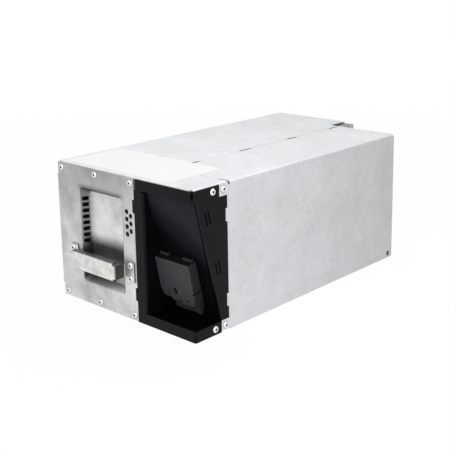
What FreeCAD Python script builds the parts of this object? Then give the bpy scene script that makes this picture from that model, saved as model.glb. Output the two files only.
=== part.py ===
"""UPS battery cartridge: a folded sheet-metal case with two columns of sealed lead-acid blocks.

The left column holds four blocks and reaches the full length. The right column holds two
blocks behind a wedge-shaped connector bay at the front corner. X runs to the right along the
front, Y to the back and Z up. The origin is the middle of the case's underside.
"""
import FreeCAD, Part
import math
import os

import Sketcher
from FreeCAD import Placement, Rotation, Vector

# ---------------------------------------------------------------------------------------
# Driving sizes in millimetres (angles in degrees): name, value, what it is
# ---------------------------------------------------------------------------------------
DRIVING = [
    ("sheet", 1.2, "thickness of every folded sheet"),
    ("bend", 0.6, "inner radius of every fold"),
    ("gap", 0.3, "clearance between a piece and what it drops in beside"),
    ("tray_flange", 8.6, "height of the tray's front and side flanges"),
    ("flange", 10.0, "width of a return flange"),
    ("block_length", 90.0, "long side of one battery block"),
    ("block_width", 70.0, "short side of one battery block"),
    ("block_height", 102.0, "height of one block to the top of its lid"),
    ("block_corner", 2.5, "width of the bevel on a block's upright corners"),
    ("lid_height", 14.0, "height of the lid band at the top of a block"),
    ("lid_groove", 0.8, "depth of the groove between case and lid"),
    ("front_space", 15.8, "front face to the first block of the left column"),
    ("harness_space", 91.2, "front face to the first block of the right column"),
    ("head_space", 16.4, "space above the blocks, for terminals and foam"),
    ("seam_lap", 6.0, "divider to the seam between the two covers"),
    ("seam_gap", 0.4, "width of the seam between the two covers"),
    ("apron_depth", 40.0, "front face to the cross seam over the connector bay"),
    ("hook_length", 14.0, "length of a hook slot on the seam"),
    ("hook_width", 3.0, "width of a hook slot on the seam"),
    ("hook_first", 67.5, "front face to the middle of the first hook slot"),
    ("hook_pitch", 65.5, "spacing of the hook slots"),
    ("pocket_width", 11.0, "width of the open corner behind the right column"),
    ("plate_edge", 0.2, "clearance around the front plate"),
    ("plate_drop", 0.8, "step from the top sheet down to the front plate's edge"),
    ("dish_left", 29.7, "left wall of the case to the drawn dish"),
    ("dish_width", 53.8, "width of the dish at the plate"),
    ("dish_bottom", 20.0, "underside of the case to the dish"),
    ("dish_height", 83.2, "height of the dish at the plate"),
    ("dish_depth", 7.8, "depth of the dish"),
    ("dish_draft", 29.0, "slope of the dish walls"),
    ("dish_corner", 3.6, "corner radius of the dish"),
    ("dish_rim", 1.8, "radius where the dish runs out into the plate"),
    ("louvre_count", 8, "number of slots in the dish's left wall"),
    ("louvre_pitch", 5.31, "spacing of those slots"),
    ("louvre_height", 3.7, "height of one slot"),
    ("louvre_depth", 6.0, "length of one slot into the dish"),
    ("louvre_low", 55.5, "underside of the case to the lowest slot's middle"),
    ("vent_radius", 2.15, "radius of a round vent hole"),
    ("vent_pitch", 6.33, "upright spacing of the round vent holes"),
    ("vent_inset", 9.6, "seam to the inner row of vent holes"),
    ("vent_row", 4.7, "spacing of the two rows of vent holes"),
    ("vent_top", 92.5, "underside of the case to the top vent hole"),
    ("tab_depth", 1.9, "reach of the small locating tabs"),
    ("tab_height", 10.8, "height of a locating tab"),
    ("front_tab_low", 18.6, "underside to the lower tab on the front plate's edge"),
    ("front_tab_high", 92.8, "underside to the upper tab on the front plate's edge"),
    ("side_tab_low", 20.4, "underside to the lower tab on the right cover's edge"),
    ("side_tab_high", 90.4, "underside to the upper tab on the right cover's edge"),
    ("grip_middle", 55.5, "left wall of the case to the handle's middle"),
    ("grip_level", 42.0, "underside of the case to the handle's middle"),
    ("grip_span", 59.0, "outside width of the handle over its legs"),
    ("grip_reach", 11.4, "front plate to the handle's outer face"),
    ("grip_height", 16.0, "height of the handle's outer face"),
    ("grip_flange", 5.2, "depth of the handle's upper and lower flanges"),
    ("leg_height", 11.5, "height of the handle's legs"),
    ("foot_length", 12.0, "length of the handle's riveted feet"),
    ("foot_height", 18.6, "height of the handle's riveted feet"),
    ("foot_corner", 4.0, "corner radius of the handle's feet"),
    ("grip_bend", 1.4, "inner radius of the handle's folds"),
    ("rivet_head", 3.3, "radius of a blind rivet's head"),
    ("rivet_dome", 1.2, "height of a blind rivet's head"),
    ("rivet_shank", 1.6, "radius of a blind rivet's shank"),
    ("rivet_inset", 5.1, "case edge to the corner rivets of the front plate"),
    ("rivet_pitch", 44.1, "sideways spacing of the front plate's rivets"),
    ("grip_rivet", 37.2, "handle's middle to its rivets, sideways"),
    ("grip_rivet_rise", 5.6, "handle's middle to its rivets, upright"),
    ("bay_rivet", 22.2, "front face to the bay frame's side rivets"),
    ("bay_rivet_pitch", 12.0, "bay frame's side rivets to those of the right cover"),
    ("bay_strip", 10.8, "width of the bay frame's left strip"),
    ("bay_bar", 8.8, "height of the bay frame's top bar"),
    ("bay_lip", 9.8, "height of the bay frame's bottom lip"),
    ("bay_side", 29.4, "front face to the right cover's corner tabs"),
    ("bay_rear", 38.1, "front face to the right cover's front edge"),
    ("panel_tilt", 13.86, "slope of the connector panel from upright"),
    ("panel_turn", 4.0, "top of the case to the connector panel's upper fold"),
    ("slit_length", 11.6, "length of a tie slit in the bay's side"),
    ("slit_width", 1.3, "width of a tie slit"),
    ("slit_pitch", 3.4, "spacing of the two slits of a pair"),
    ("slit_inset", 6.8, "sloping edge to the first slit of a pair"),
    ("slit_high", 97.0, "underside of the case to the upper pair of slits"),
    ("slit_low", 54.8, "underside of the case to the lower pair of slits"),
    ("plug_width", 38.0, "width of the connector"),
    ("plug_length", 37.4, "length of the connector's front face"),
    ("plug_jaw", 10.6, "reach of the connector's lower jaw beyond its face"),
    ("plug_rise", 8.0, "connector panel to the connector's face"),
    ("plug_drop", 60.6, "connector panel's upper fold to the connector"),
    ("plug_right", 15.6, "right side of the case to the connector"),
    ("plug_root_width", 30.0, "width of the part that passes through the panel"),
    ("plug_root_depth", 9.0, "reach of the connector behind the panel"),
    ("contact_pitch", 17.0, "spacing of the two contacts"),
    ("contact_width", 9.0, "width of one contact blade"),
    ("contact_sheet", 1.2, "thickness of one contact blade"),
    ("side_hole", 2.5, "radius of the hole low in the right side"),
    ("side_hole_back", 7.4, "back of the right column to that hole's middle"),
    ("side_hole_level", 5.1, "underside of the case to that hole's middle"),
    ("post_radius", 4.5, "half the width of a square terminal post"),
    ("post_height", 5.0, "height of a terminal post"),
    ("post_inset", 7.0, "block's end to its posts"),
    ("post_pitch", 44.0, "spacing of the two posts of a block"),
    ("strap_width", 7.8, "width of a connecting strap"),
    ("strap_sheet", 1.2, "thickness of a connecting strap"),
    ("screw_radius", 3.8, "middle to corner of a terminal screw's head"),
    ("screw_height", 2.6, "height of a terminal screw's head"),
    ("lead_radius", 2.3, "radius of a main lead"),
    ("fuse_radius", 5.2, "radius of the fuse's body"),
    ("fuse_length", 38.0, "length of the fuse"),
    ("fuse_level", 52.0, "underside of the case to the fuse's middle"),
    ("fuse_back", 74.0, "front face to the fuse's middle"),
    ("window_radius", 6.0, "radius of the divider's lead windows"),
    ("foam_gap", 9.0, "posts to the foam that holds the blocks down"),
]

doc = FreeCAD.newDocument("battery_cartridge")
sheet_of_sizes = doc.addObject("Spreadsheet::Sheet", "Sizes")
sheet_of_results = doc.addObject("Spreadsheet::Sheet", "Derived")


class Size:
    """A number together with the spreadsheet formula that gives it."""

    def __init__(self, value, formula):
        self.value = float(value)
        self.formula = formula

    def _join(self, sign, value, other):
        return Size(value, "(%s %s %s)" % (self.formula, sign, other.formula))

    def __add__(self, other):
        other = as_size(other)
        return self._join("+", self.value + other.value, other)

    def __sub__(self, other):
        other = as_size(other)
        return self._join("-", self.value - other.value, other)

    def __mul__(self, other):
        other = as_size(other)
        return self._join("*", self.value * other.value, other)

    def __truediv__(self, other):
        other = as_size(other)
        return self._join("/", self.value / other.value, other)

    def __radd__(self, other):
        return as_size(other) + self

    def __rsub__(self, other):
        return as_size(other) - self

    def __rmul__(self, other):
        return as_size(other) * self

    def __neg__(self):
        return as_size(0) - self


def as_size(number):
    return number if isinstance(number, Size) else Size(number, repr(float(number)))


def tangent(angle):
    return Size(math.tan(math.radians(angle.value)), "tan(%s)" % angle.formula)


def cosine(angle):
    return Size(math.cos(math.radians(angle.value)), "cos(%s)" % angle.formula)


def sine(angle):
    return Size(math.sin(math.radians(angle.value)), "sin(%s)" % angle.formula)


S = {}
for row, (name, value, meaning) in enumerate(DRIVING, start=1):
    sheet_of_sizes.set("A%d" % row, name)
    sheet_of_sizes.set("B%d" % row, str(value))
    sheet_of_sizes.set("C%d" % row, meaning)
    sheet_of_sizes.setAlias("B%d" % row, name)
    S[name] = Size(value, "Sizes." + name)


def derived(name, size):
    """Keep a worked-out size under its own name on the second sheet."""
    row = len([key for key in S if key.startswith("derived ")]) + 1
    sheet_of_results.set("A%d" % row, name)
    sheet_of_results.set("B%d" % row, "=" + size.formula)
    sheet_of_results.setAlias("B%d" % row, name)
    S["derived " + name] = size
    return Size(size.value, "Derived." + name)


t = S["sheet"]
gap = S["gap"]
flange = S["flange"]
fold = derived("fold", t + S["bend"])
divider_x = derived("divider_x", t + gap + S["block_length"] + gap)
right_block_x = derived("right_block_x", divider_x + t + gap)
width = derived("width", right_block_x + S["block_width"] + gap + t)
height = derived("height", 2 * t + S["block_height"] + S["head_space"] + t)
block_pitch = derived("block_pitch", S["block_width"] + gap)
length = derived("length", S["front_space"] + 4 * block_pitch + 2 * t + S["bend"])
right_pitch = derived("right_pitch", S["block_length"] + gap)
right_length = derived("right_length", S["harness_space"] + 2 * right_pitch + t)
seam = derived("seam", divider_x + t + S["seam_lap"])
floor_top = derived("floor_top", 2 * t)
lid_top = derived("lid_top", floor_top + S["block_height"])
post_top = derived("post_top", lid_top + S["post_height"])
pocket_x = derived("pocket_x", seam - S["pocket_width"])
plate_right = derived("plate_right", seam - S["plate_edge"])
front_top = derived("front_top", height - S["plate_drop"])
bay_left = derived("bay_left", seam + S["bay_strip"])
bay_top = derived("bay_top", front_top - S["bay_bar"])
lean = derived("lean", tangent(S["panel_tilt"]))
panel_front = derived("panel_front", 2 * t)
turn_z = derived("turn_z", height - S["panel_turn"])
# middle of everything, with the side rivets' heads and the handle
origin_x = derived("origin_x", (width + S["rivet_dome"]) / 2)
origin_y = derived("origin_y", (length - S["grip_reach"]) / 2)


def slope_y(z, clear=0):
    """Front surface of the sloping connector panel at a given height."""
    return panel_front + (turn_z - z) * lean + clear


# ---------------------------------------------------------------------------------------
# Small tools for bodies, sketches and folds
# ---------------------------------------------------------------------------------------
AXES = {"XY": ("XY_Plane", 1), "XZ": ("XZ_Plane", -1), "YZ": ("YZ_Plane", 1)}
NODES = []


def number(value):
    return as_size(value).value


def origin_part(body, role):
    return [item for item in body.Origin.OriginFeatures if item.Role == role][0]


def piece(label, groups=False):
    """Start a body in the case's corner frame and centre it under the case's middle."""
    body = doc.addObject("PartDesign::Body", label)
    body.Label = label
    body.AllowCompound = groups
    NODES.append(body)
    return body


def place(item, x=0, y=0, z=0, axis=None, angle=0):
    """Put a finished piece at a corner-frame position; the origin lies below the middle."""
    x = as_size(x) - origin_x
    y = as_size(y) - origin_y
    z = as_size(z)
    turn = Rotation(axis or Vector(0, 0, 1), number(angle))
    item.Placement = Placement(Vector(x.value, y.value, z.value), turn)
    item.setExpression(".Placement.Base.x", x.formula)
    item.setExpression(".Placement.Base.y", y.formula)
    item.setExpression(".Placement.Base.z", z.formula)
    if isinstance(angle, Size):
        item.setExpression(".Placement.Rotation.Angle", angle.formula)


def new_sketch(body, plane, at):
    sketch = body.newObject("Sketcher::SketchObject", body.Label + "_sketch")
    role, sign = AXES[plane]
    sketch.AttachmentSupport = [(origin_part(body, role), "")]
    sketch.MapMode = "FlatFace"
    offset = as_size(at) * sign
    sketch.AttachmentOffset = Placement(Vector(0, 0, offset.value), Rotation())
    sketch.setExpression(".AttachmentOffset.Base.z", offset.formula)
    return sketch


def pin(sketch, index, spot, u, v):
    """Hold one point of the sketch at a driven distance from the sketch's origin."""
    for kind, size in (("DistanceX", as_size(u)), ("DistanceY", as_size(v))):
        row = sketch.addConstraint(Sketcher.Constraint(kind, -1, 1, index, spot, size.value))
        sketch.setExpression("Constraints[%d]" % row, size.formula)


def loop(sketch, points):
    """Closed outline. A point is (u, v), or (u, v, bulge_u, bulge_v, radius) when the edge that
    leaves it is an arc through the bulge point."""
    spots = [Vector(number(p[0]), number(p[1]), 0) for p in points]
    first = sketch.GeometryCount
    count = len(points)
    for k, p in enumerate(points):
        a, b = spots[k], spots[(k + 1) % count]
        if len(p) == 2:
            sketch.addGeometry(Part.LineSegment(a, b))
        else:
            middle = Vector(number(p[2]), number(p[3]), 0)
            sketch.addGeometry(Part.Arc(a, middle, b))
    starts = []
    for k in range(count):
        edge = sketch.Geometry[first + k]
        forward = (edge.StartPoint - spots[k]).Length < (edge.EndPoint - spots[k]).Length
        starts.append((1, 2) if forward else (2, 1))
    for k in range(count):
        after = (k + 1) % count
        join = Sketcher.Constraint("Coincident", first + k, starts[k][1],
                                   first + after, starts[after][0])
        sketch.addConstraint(join)
    for k, p in enumerate(points):
        pin(sketch, first + k, starts[k][0], p[0], p[1])
        if len(p) == 5:
            radius = as_size(p[4])
            row = sketch.addConstraint(Sketcher.Constraint("Radius", first + k, radius.value))
            sketch.setExpression("Constraints[%d]" % row, radius.formula)


def circle(sketch, u, v, radius):
    radius = as_size(radius)
    place_at = Vector(number(u), number(v), 0)
    index = sketch.addGeometry(Part.Circle(place_at, Vector(0, 0, 1), radius.value))
    pin(sketch, index, 3, u, v)
    row = sketch.addConstraint(Sketcher.Constraint("Radius", index, radius.value))
    sketch.setExpression("Constraints[%d]" % row, radius.formula)


def box_points(u0, v0, u1, v1):
    return [(u0, v0), (u1, v0), (u1, v1), (u0, v1)]


def feature(body, kind, sketch, size, plane, taper=None):
    """Pad or pocket that runs from its sketch towards +X, +Y or +Z."""
    item = body.newObject("PartDesign::" + kind, body.Label + "_" + kind.lower())
    item.Profile = sketch
    size = as_size(size)
    item.Length = size.value
    item.setExpression("Length", size.formula)
    item.Reversed = (plane == "XZ") if kind == "Pad" else (plane != "XZ")
    if taper is not None:
        item.TaperAngle = taper.value
        item.setExpression("TaperAngle", taper.formula)
    doc.recompute()
    return item


def pad(body, plane, at, size, *outlines, taper=None):
    sketch = new_sketch(body, plane, at)
    for points in outlines:
        loop(sketch, points)
    return feature(body, "Pad", sketch, size, plane, taper)


def pocket(body, plane, at, size, *outlines, circles=(), taper=None):
    before = body.Shape.Volume
    sketch = new_sketch(body, plane, at)
    for points in outlines:
        loop(sketch, points)
    for u, v, radius in circles:
        circle(sketch, u, v, radius)
    item = feature(body, "Pocket", sketch, size, plane, taper)
    if not body.Shape.Volume < before - 1e-6:
        raise ValueError("a pocket of %s removes nothing" % body.Label)
    return item


def repeat(body, item, axis, spacing, copies, axis2=None, spacing2=None, copies2=None):
    """Linear pattern of one feature along one or two of the body's axes."""
    pattern = body.newObject("PartDesign::LinearPattern", body.Label + "_pattern")
    pattern.Originals = [item]
    pattern.Direction = (origin_part(body, axis + "_Axis"), [""])
    span = as_size(spacing) * (as_size(copies) - 1)
    pattern.Mode = "Extent"
    pattern.Length = span.value
    pattern.Occurrences = int(round(number(copies)))
    pattern.setExpression("Length", span.formula)
    if isinstance(copies, Size):
        pattern.setExpression("Occurrences", copies.formula)
    if axis2:
        span2 = as_size(spacing2) * (as_size(copies2) - 1)
        pattern.Direction2 = (origin_part(body, axis2 + "_Axis"), [""])
        pattern.Mode2 = "Extent"
        pattern.Length2 = span2.value
        pattern.Occurrences2 = int(round(number(copies2)))
        pattern.setExpression("Length2", span2.formula)
    body.Tip = pattern
    doc.recompute()
    return pattern


def edges_at(shape, points):
    """Names of the edges that pass through the given points."""
    names = []
    for point in points:
        spot = Part.Vertex(Vector(*[number(c) for c in point]))
        near = [(9.0, 0)]
        for i, edge in enumerate(shape.Edges, start=1):
            room = edge.BoundBox
            room.enlarge(0.1)
            if room.isInside(spot.Point):
                near.append((edge.distToShape(spot)[0], i))
        distance, i = min(near)
        if distance > 0.01:
            raise ValueError("no edge at %s" % (point,))
        names.append("Edge%d" % i)
    return sorted(set(names))


def round_edges(body, radius, points):
    """Fillet the edges through the given points."""
    tip = body.Tip
    item = body.newObject("PartDesign::Fillet", body.Label + "_fillet")
    item.Base = (tip, edges_at(tip.Shape, points))
    radius = as_size(radius)
    item.Radius = radius.value
    item.setExpression("Radius", radius.formula)
    body.Tip = item
    doc.recompute()
    return item


def bend_edges(body, outer, inner):
    """Turn the sharp corners of a fold into its outer and inner bend radii."""
    round_edges(body, fold, outer)
    round_edges(body, S["bend"], inner)


# ---------------------------------------------------------------------------------------
# Main cover: left wall, top with an apron over the connector bay, lower and end flanges
# ---------------------------------------------------------------------------------------
cover_right = width - t
front_fold = t + fold
rivet_z = height - S["rivet_inset"]
rivet_hole = S["rivet_shank"] + 0.1

cover = piece("main_cover")
pad(cover, "XZ", front_fold, length - fold - front_fold,
    [(0, 0), (flange, 0), (flange, t), (t, t), (t, height - t),
     (cover_right, height - t), (cover_right, height), (0, height)])
middle_y = length / 2
bend_edges(cover,
           [(0, middle_y, 0), (0, middle_y, height)],
           [(t, middle_y, t), (t, middle_y, height - t)])
# the left wall reaches forward beside the front plate, short of the corners
pad(cover, "YZ", 0, t,
    box_points(0, flange + t, front_fold + 1, height - flange - t))
# front flange behind the plate and the bay frame
pad(cover, "YZ", 2 * fold, cover_right - 4 * fold,
    [(t, height - flange), (2 * t, height - flange), (2 * t, height - t),
     (front_fold + 1, height - t), (front_fold + 1, height), (t, height)])
bend_edges(cover, [(seam, t, height)], [(seam, 2 * t, height - t)])
# the top stops at the seam, and at the cross seam over the bay
pocket(cover, "XY", height - 2 * t, 3 * t,
       box_points(seam - S["seam_gap"] / 2, S["apron_depth"], width + t, length + t))
# open corner behind the right column
pocket(cover, "XY", height - 2 * t, 3 * t,
       box_points(pocket_x, right_length + gap, seam, length + t))
# flange down the right side of the apron, behind the bay frame's side
apron_front = 2 * fold + front_fold
apron_back = S["apron_depth"] - fold
pad(cover, "XZ", apron_front, apron_back - apron_front,
    box_points(cover_right - t, height - flange - t, cover_right, height - t / 2))
bend_edges(cover, [(cover_right, apron_front + 5, height)],
           [(cover_right - t, apron_front + 5, height - t)])
# rear flange outside the tray's rear wall
pad(cover, "YZ", 2 * fold, pocket_x - 4 * fold,
    [(length - fold - 1, height - t), (length - t, height - t), (length - t, height - flange),
     (length, height - flange), (length, height), (length - fold - 1, height)])
bend_edges(cover, [(pocket_x / 2, length, height)], [(pocket_x / 2, length - t, height - t)])
hook = pocket(cover, "XY", height - 2 * t, 3 * t,
              box_points(seam - S["hook_width"] / 2, S["hook_first"] - S["hook_length"] / 2,
                         seam, S["hook_first"] + S["hook_length"] / 2))
repeat(cover, hook, "Y", S["hook_pitch"], 4)
hole = pocket(cover, "XZ", 0, 3 * t, circles=[(S["rivet_inset"] + t, rivet_z, rivet_hole)])
repeat(cover, hole, "X", S["rivet_pitch"], 3)
hole = pocket(cover, "YZ", width - 3 * t, 3 * t,
              circles=[(S["bay_rivet"], rivet_z, rivet_hole)])
repeat(cover, hole, "Y", S["bay_rivet_pitch"], 2)
place(cover)

# ---------------------------------------------------------------------------------------
# Base tray: floor of both columns, front flange, side flange in the bay, rear wall
# ---------------------------------------------------------------------------------------
tray = piece("base_tray")
tray_right = width - t - S["plate_edge"]
tray_left = fold + 0.1
rear_top = height - fold - 0.1
pad(tray, "XY", t, t,
    [(tray_left, front_fold), (tray_right, front_fold),
     (tray_right, right_length - t - gap), (seam, right_length - t - gap),
     (seam, length - t - fold), (tray_left, length - t - fold)])
# front flange
pad(tray, "YZ", 2 * fold, width - t - 6 * fold,
    [(t, t), (front_fold + 1, t), (front_fold + 1, 2 * t), (2 * t, 2 * t),
     (2 * t, S["tray_flange"]), (t, S["tray_flange"])])
bend_edges(tray, [(seam, t, t)], [(seam, 2 * t, 2 * t)])
# rear wall of the left column
pad(tray, "YZ", 2 * t, seam - 2 * t,
    [(length - t - fold - 1, t), (length - t, t), (length - t, rear_top),
     (length - 2 * t, rear_top), (length - 2 * t, 2 * t),
     (length - t - fold - 1, 2 * t)])
bend_edges(tray, [(seam / 2, length - t, t)], [(seam / 2, length - 2 * t, 2 * t)])
# side flange beside the bay
pad(tray, "XZ", apron_front, apron_back - apron_front,
    [(tray_right - 1, t), (width - t, t), (width - t, S["tray_flange"]),
     (width - 2 * t, S["tray_flange"]),
     (width - 2 * t, 2 * t), (tray_right - 1, 2 * t)])
bend_edges(tray, [(width - t, apron_front + 5, t)], [(width - 2 * t, apron_front + 5, 2 * t)])
hole = pocket(tray, "XZ", 0, 3 * t, circles=[(S["rivet_inset"] + t, S["rivet_inset"], rivet_hole)])
repeat(tray, hole, "X", S["rivet_pitch"], 3)
hole = pocket(tray, "YZ", width - 3 * t, 3 * t,
              circles=[(S["bay_rivet"], S["rivet_inset"], rivet_hole)])
repeat(tray, hole, "Y", S["bay_rivet_pitch"], 2)
place(tray)

# ---------------------------------------------------------------------------------------
# Right cover: right side, top, lower flange, end wall and the tabs at the bay
# ---------------------------------------------------------------------------------------
right = piece("right_cover")
right_front = S["apron_depth"] + S["seam_gap"]
right_back = right_length - fold
top_left = seam + S["seam_gap"] / 2
pad(right, "XZ", right_front, right_back - right_front,
    [(width - flange, 0), (width, 0), (width, height), (top_left, height),
     (top_left, height - t), (width - t, height - t), (width - t, t), (width - flange, t)])
middle_y = right_length / 2
bend_edges(right,
           [(width, middle_y, 0), (width, middle_y, height)],
           [(width - t, middle_y, t), (width - t, middle_y, height - t)])
# side sheet in front of the top's edge, with the corner tabs and the locating tabs
tab_low, tab_high = S["side_tab_low"], S["side_tab_high"]
bay_rear, bay_side = S["bay_rear"], S["bay_side"]
tab_front = bay_rear - S["tab_depth"]
corner_low = flange + gap
corner_high = height - flange - gap
pad(right, "YZ", width - t, t,
    [(right_front + 1, fold), (bay_side, fold), (bay_side, corner_low), (bay_rear, corner_low),
     (bay_rear, tab_low), (tab_front, tab_low), (tab_front, tab_low + S["tab_height"]),
     (bay_rear, tab_low + S["tab_height"]), (bay_rear, tab_high), (tab_front, tab_high),
     (tab_front, tab_high + S["tab_height"]), (bay_rear, tab_high + S["tab_height"]),
     (bay_rear, corner_high), (bay_side, corner_high), (bay_side, front_top),
     (right_front + 1, front_top)])
# bend relief at the front end of the top
pocket(right, "XY", height - 2 * t, 3 * t,
       box_points(width - 12, right_front - 1, width + 1, right_front + 1.2))
# end wall, folded in from the side, and the top's last strip over it
pad(right, "XY", fold, height - 2 * fold - gap,
    [(width - t, right_back - 1), (width, right_back - 1), (width, right_length),
     (divider_x + t + gap, right_length), (divider_x + t + gap, right_length - t),
     (width - t, right_length - t)])
bend_edges(right, [(width, right_length, height / 2)], [(width - t, right_length - t, height / 2)])
pad(right, "XY", height - t, t,
    box_points(top_left, right_back - 1, width - 2 * fold, right_length))
hook = pocket(right, "XY", height - 2 * t, 3 * t,
              box_points(seam, S["hook_first"] - S["hook_length"] / 2,
                         seam + S["hook_width"] / 2, S["hook_first"] + S["hook_length"] / 2))
repeat(right, hook, "Y", S["hook_pitch"], 4)
# end wall's inner corner stands clear of the tray's floor
pocket(right, "XZ", right_length - t - 0.1, t + 0.2,
       box_points(divider_x, 0, seam + gap, floor_top + gap))
pocket(right, "YZ", width - 2 * t, 3 * t,
       circles=[(right_length - S["side_hole_back"], S["side_hole_level"], S["side_hole"]),
                (S["bay_rivet"] + S["bay_rivet_pitch"], rivet_z, rivet_hole),
                (S["bay_rivet"] + S["bay_rivet_pitch"], S["rivet_inset"], rivet_hole)])
place(right)

# ---------------------------------------------------------------------------------------
# Divider between the columns, with a lap flange under the seam
# ---------------------------------------------------------------------------------------
divider = piece("divider")
lap_right = seam + S["seam_lap"]
divider_back = length - 2 * t
pad(divider, "XZ", panel_front + fold, divider_back - fold - (panel_front + fold),
    box_points(divider_x, floor_top, divider_x + t, height - t))
pad(divider, "XZ", right_front + 4, right_length - t - gap - (right_front + 4),
    [(divider_x, height - 2 * t), (lap_right, height - 2 * t), (lap_right, height - t),
     (divider_x, height - t)])
middle_y = right_length / 2
bend_edges(divider, [(divider_x, middle_y, height - t)],
           [(divider_x + t, middle_y, height - 2 * t)])
# upright end flanges, against the front flanges and the rear wall
pad(divider, "XY", floor_top + flange, height - floor_top - 2 * flange - t,
    [(divider_x, panel_front + fold + 1), (divider_x, panel_front),
     (plate_right, panel_front), (plate_right, panel_front + t),
     (divider_x + t, panel_front + t), (divider_x + t, panel_front + fold + 1)])
pad(divider, "XY", floor_top + flange, height - floor_top - 2 * flange - t,
    [(divider_x, divider_back - fold - 1), (divider_x, divider_back),
     (plate_right, divider_back), (plate_right, divider_back - t),
     (divider_x + t, divider_back - t), (divider_x + t, divider_back - fold - 1)])
middle_z = height / 2
bend_edges(divider,
           [(divider_x, panel_front, middle_z), (divider_x, divider_back, middle_z)],
           [(divider_x + t, panel_front + t, middle_z),
            (divider_x + t, divider_back - t, middle_z)])
hook = pocket(divider, "XY", height - 3 * t, 4 * t,
              box_points(seam - S["hook_width"] / 2, S["hook_first"] - S["hook_length"] / 2,
                         seam + S["hook_width"] / 2, S["hook_first"] + S["hook_length"] / 2))
repeat(divider, hook, "Y", S["hook_pitch"], 4)
front_post_y = derived("front_post_y",
                       S["front_space"] + S["block_width"] / 2 - S["post_pitch"] / 2)
rear_post_y = derived("rear_post_y", front_post_y + 3 * block_pitch + S["post_pitch"])
window_z = derived("window_z", post_top + 2.2)
cross_y = derived("cross_y", right_length - t - S["window_radius"] - 4)
# front corners and flange cut clear of the rivets' back ends
pocket(divider, "YZ", divider_x - 1, t + 2,
       box_points(0, 0, panel_front + fold + 3.6, floor_top + flange),
       box_points(0, height - flange - t, panel_front + fold + 3.6, height))
clear = S["rivet_shank"] * 1.3 + 0.4
pocket(divider, "XZ", panel_front - 1, t + 2,
       circles=[(S["grip_middle"] + S["grip_rivet"], S["grip_level"] + rise * S["grip_rivet_rise"],
                 clear) for rise in (-1, 1)])
pocket(divider, "YZ", divider_x - t, 3 * t,
       circles=[(front_post_y, window_z, S["window_radius"]),
                (cross_y, window_z, S["window_radius"])])
place(divider)

# ---------------------------------------------------------------------------------------
# Front plate with its drawn dish, louvres, vent holes and tab notches
# ---------------------------------------------------------------------------------------
plate = piece("front_plate")
plate_left = t + S["plate_edge"]
plate_low = S["plate_drop"]
notch_x = plate_right - S["tab_depth"] - S["plate_edge"]
low_a = S["front_tab_low"] - S["plate_edge"]
low_b = S["front_tab_low"] + S["tab_height"] + S["plate_edge"]
high_a = S["front_tab_high"] - S["plate_edge"]
high_b = S["front_tab_high"] + S["tab_height"] + S["plate_edge"]
pad(plate, "XZ", 0, t,
    [(plate_left, plate_low), (plate_right, plate_low), (plate_right, low_a), (notch_x, low_a),
     (notch_x, low_b), (plate_right, low_b), (plate_right, high_a), (notch_x, high_a),
     (notch_x, high_b), (plate_right, high_b), (plate_right, front_top),
     (plate_left, front_top)])
dish_l = S["dish_left"]
dish_r = dish_l + S["dish_width"]
dish_b = S["dish_bottom"]
dish_t = dish_b + S["dish_height"]
skin = t / cosine(S["dish_draft"])
pad(plate, "XZ", 0, S["dish_depth"] + t,
    box_points(dish_l - skin, dish_b - skin, dish_r + skin, dish_t + skin),
    taper=-S["dish_draft"])
depth = S["dish_depth"]
shrink = depth * tangent(S["dish_draft"])


def dish_corners(extra, at):
    inward = at * tangent(S["dish_draft"]) - extra
    left, low = dish_l + inward, dish_b + inward
    far, high = dish_r - inward, dish_t - inward
    return [(left, at, low), (far, at, low), (far, at, high), (left, at, high)]


round_edges(plate, S["dish_corner"] + t, dish_corners(skin, depth / 2 + t))
pocket(plate, "XZ", 0, depth, box_points(dish_l, dish_b, dish_r, dish_t),
       taper=-S["dish_draft"])
round_edges(plate, S["dish_corner"], dish_corners(as_size(0), depth / 2))
# the rim runs out into the plate in a soft radius, all the way round
round_edges(plate, S["dish_rim"], [((dish_l + dish_r) / 2, 0, dish_b)])
tall = S["louvre_height"]
low_side, high_side = S["louvre_low"] - tall / 2, S["louvre_low"] + tall / 2
near, far = t + 0.1 + tall * 0.365, t + 0.1 + S["louvre_depth"] - tall * 0.365
slot = pocket(plate, "YZ", dish_l - skin, S["dish_depth"] + skin,
              [(near, low_side),
               (far, low_side, far + tall * 0.365, S["louvre_low"], tall * 0.525),
               (far, high_side),
               (near, high_side, near - tall * 0.365, S["louvre_low"], tall * 0.525)])
repeat(plate, slot, "Z", S["louvre_pitch"], S["louvre_count"])
vent_x = seam - S["vent_inset"]
vent = pocket(plate, "XZ", 0, t, circles=[(vent_x, S["vent_top"], S["vent_radius"]),
                                          (vent_x, S["vent_top"] - S["vent_pitch"],
                                           S["vent_radius"]),
                                          (vent_x, S["vent_top"] - 2 * S["vent_pitch"],
                                           S["vent_radius"]),
                                          (vent_x, S["vent_top"] - 3 * S["vent_pitch"],
                                           S["vent_radius"]),
                                          (vent_x + S["vent_row"],
                                           S["vent_top"] - 0.5 * S["vent_pitch"],
                                           S["vent_radius"]),
                                          (vent_x + S["vent_row"],
                                           S["vent_top"] - 1.5 * S["vent_pitch"],
                                           S["vent_radius"]),
                                          (vent_x + S["vent_row"],
                                           S["vent_top"] - 2.5 * S["vent_pitch"],
                                           S["vent_radius"])])
hole = pocket(plate, "XZ", 0, t, circles=[(S["rivet_inset"] + t, rivet_z, rivet_hole),
                                          (S["rivet_inset"] + t, S["rivet_inset"], rivet_hole)])
repeat(plate, hole, "X", S["rivet_pitch"], 3)
grip_x, grip_z = S["grip_middle"], S["grip_level"]
pocket(plate, "XZ", 0, t,
       circles=[(grip_x + side * S["grip_rivet"], grip_z + rise * S["grip_rivet_rise"],
                 rivet_hole) for side in (-1, 1) for rise in (-1, 1)])
place(plate)

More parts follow.
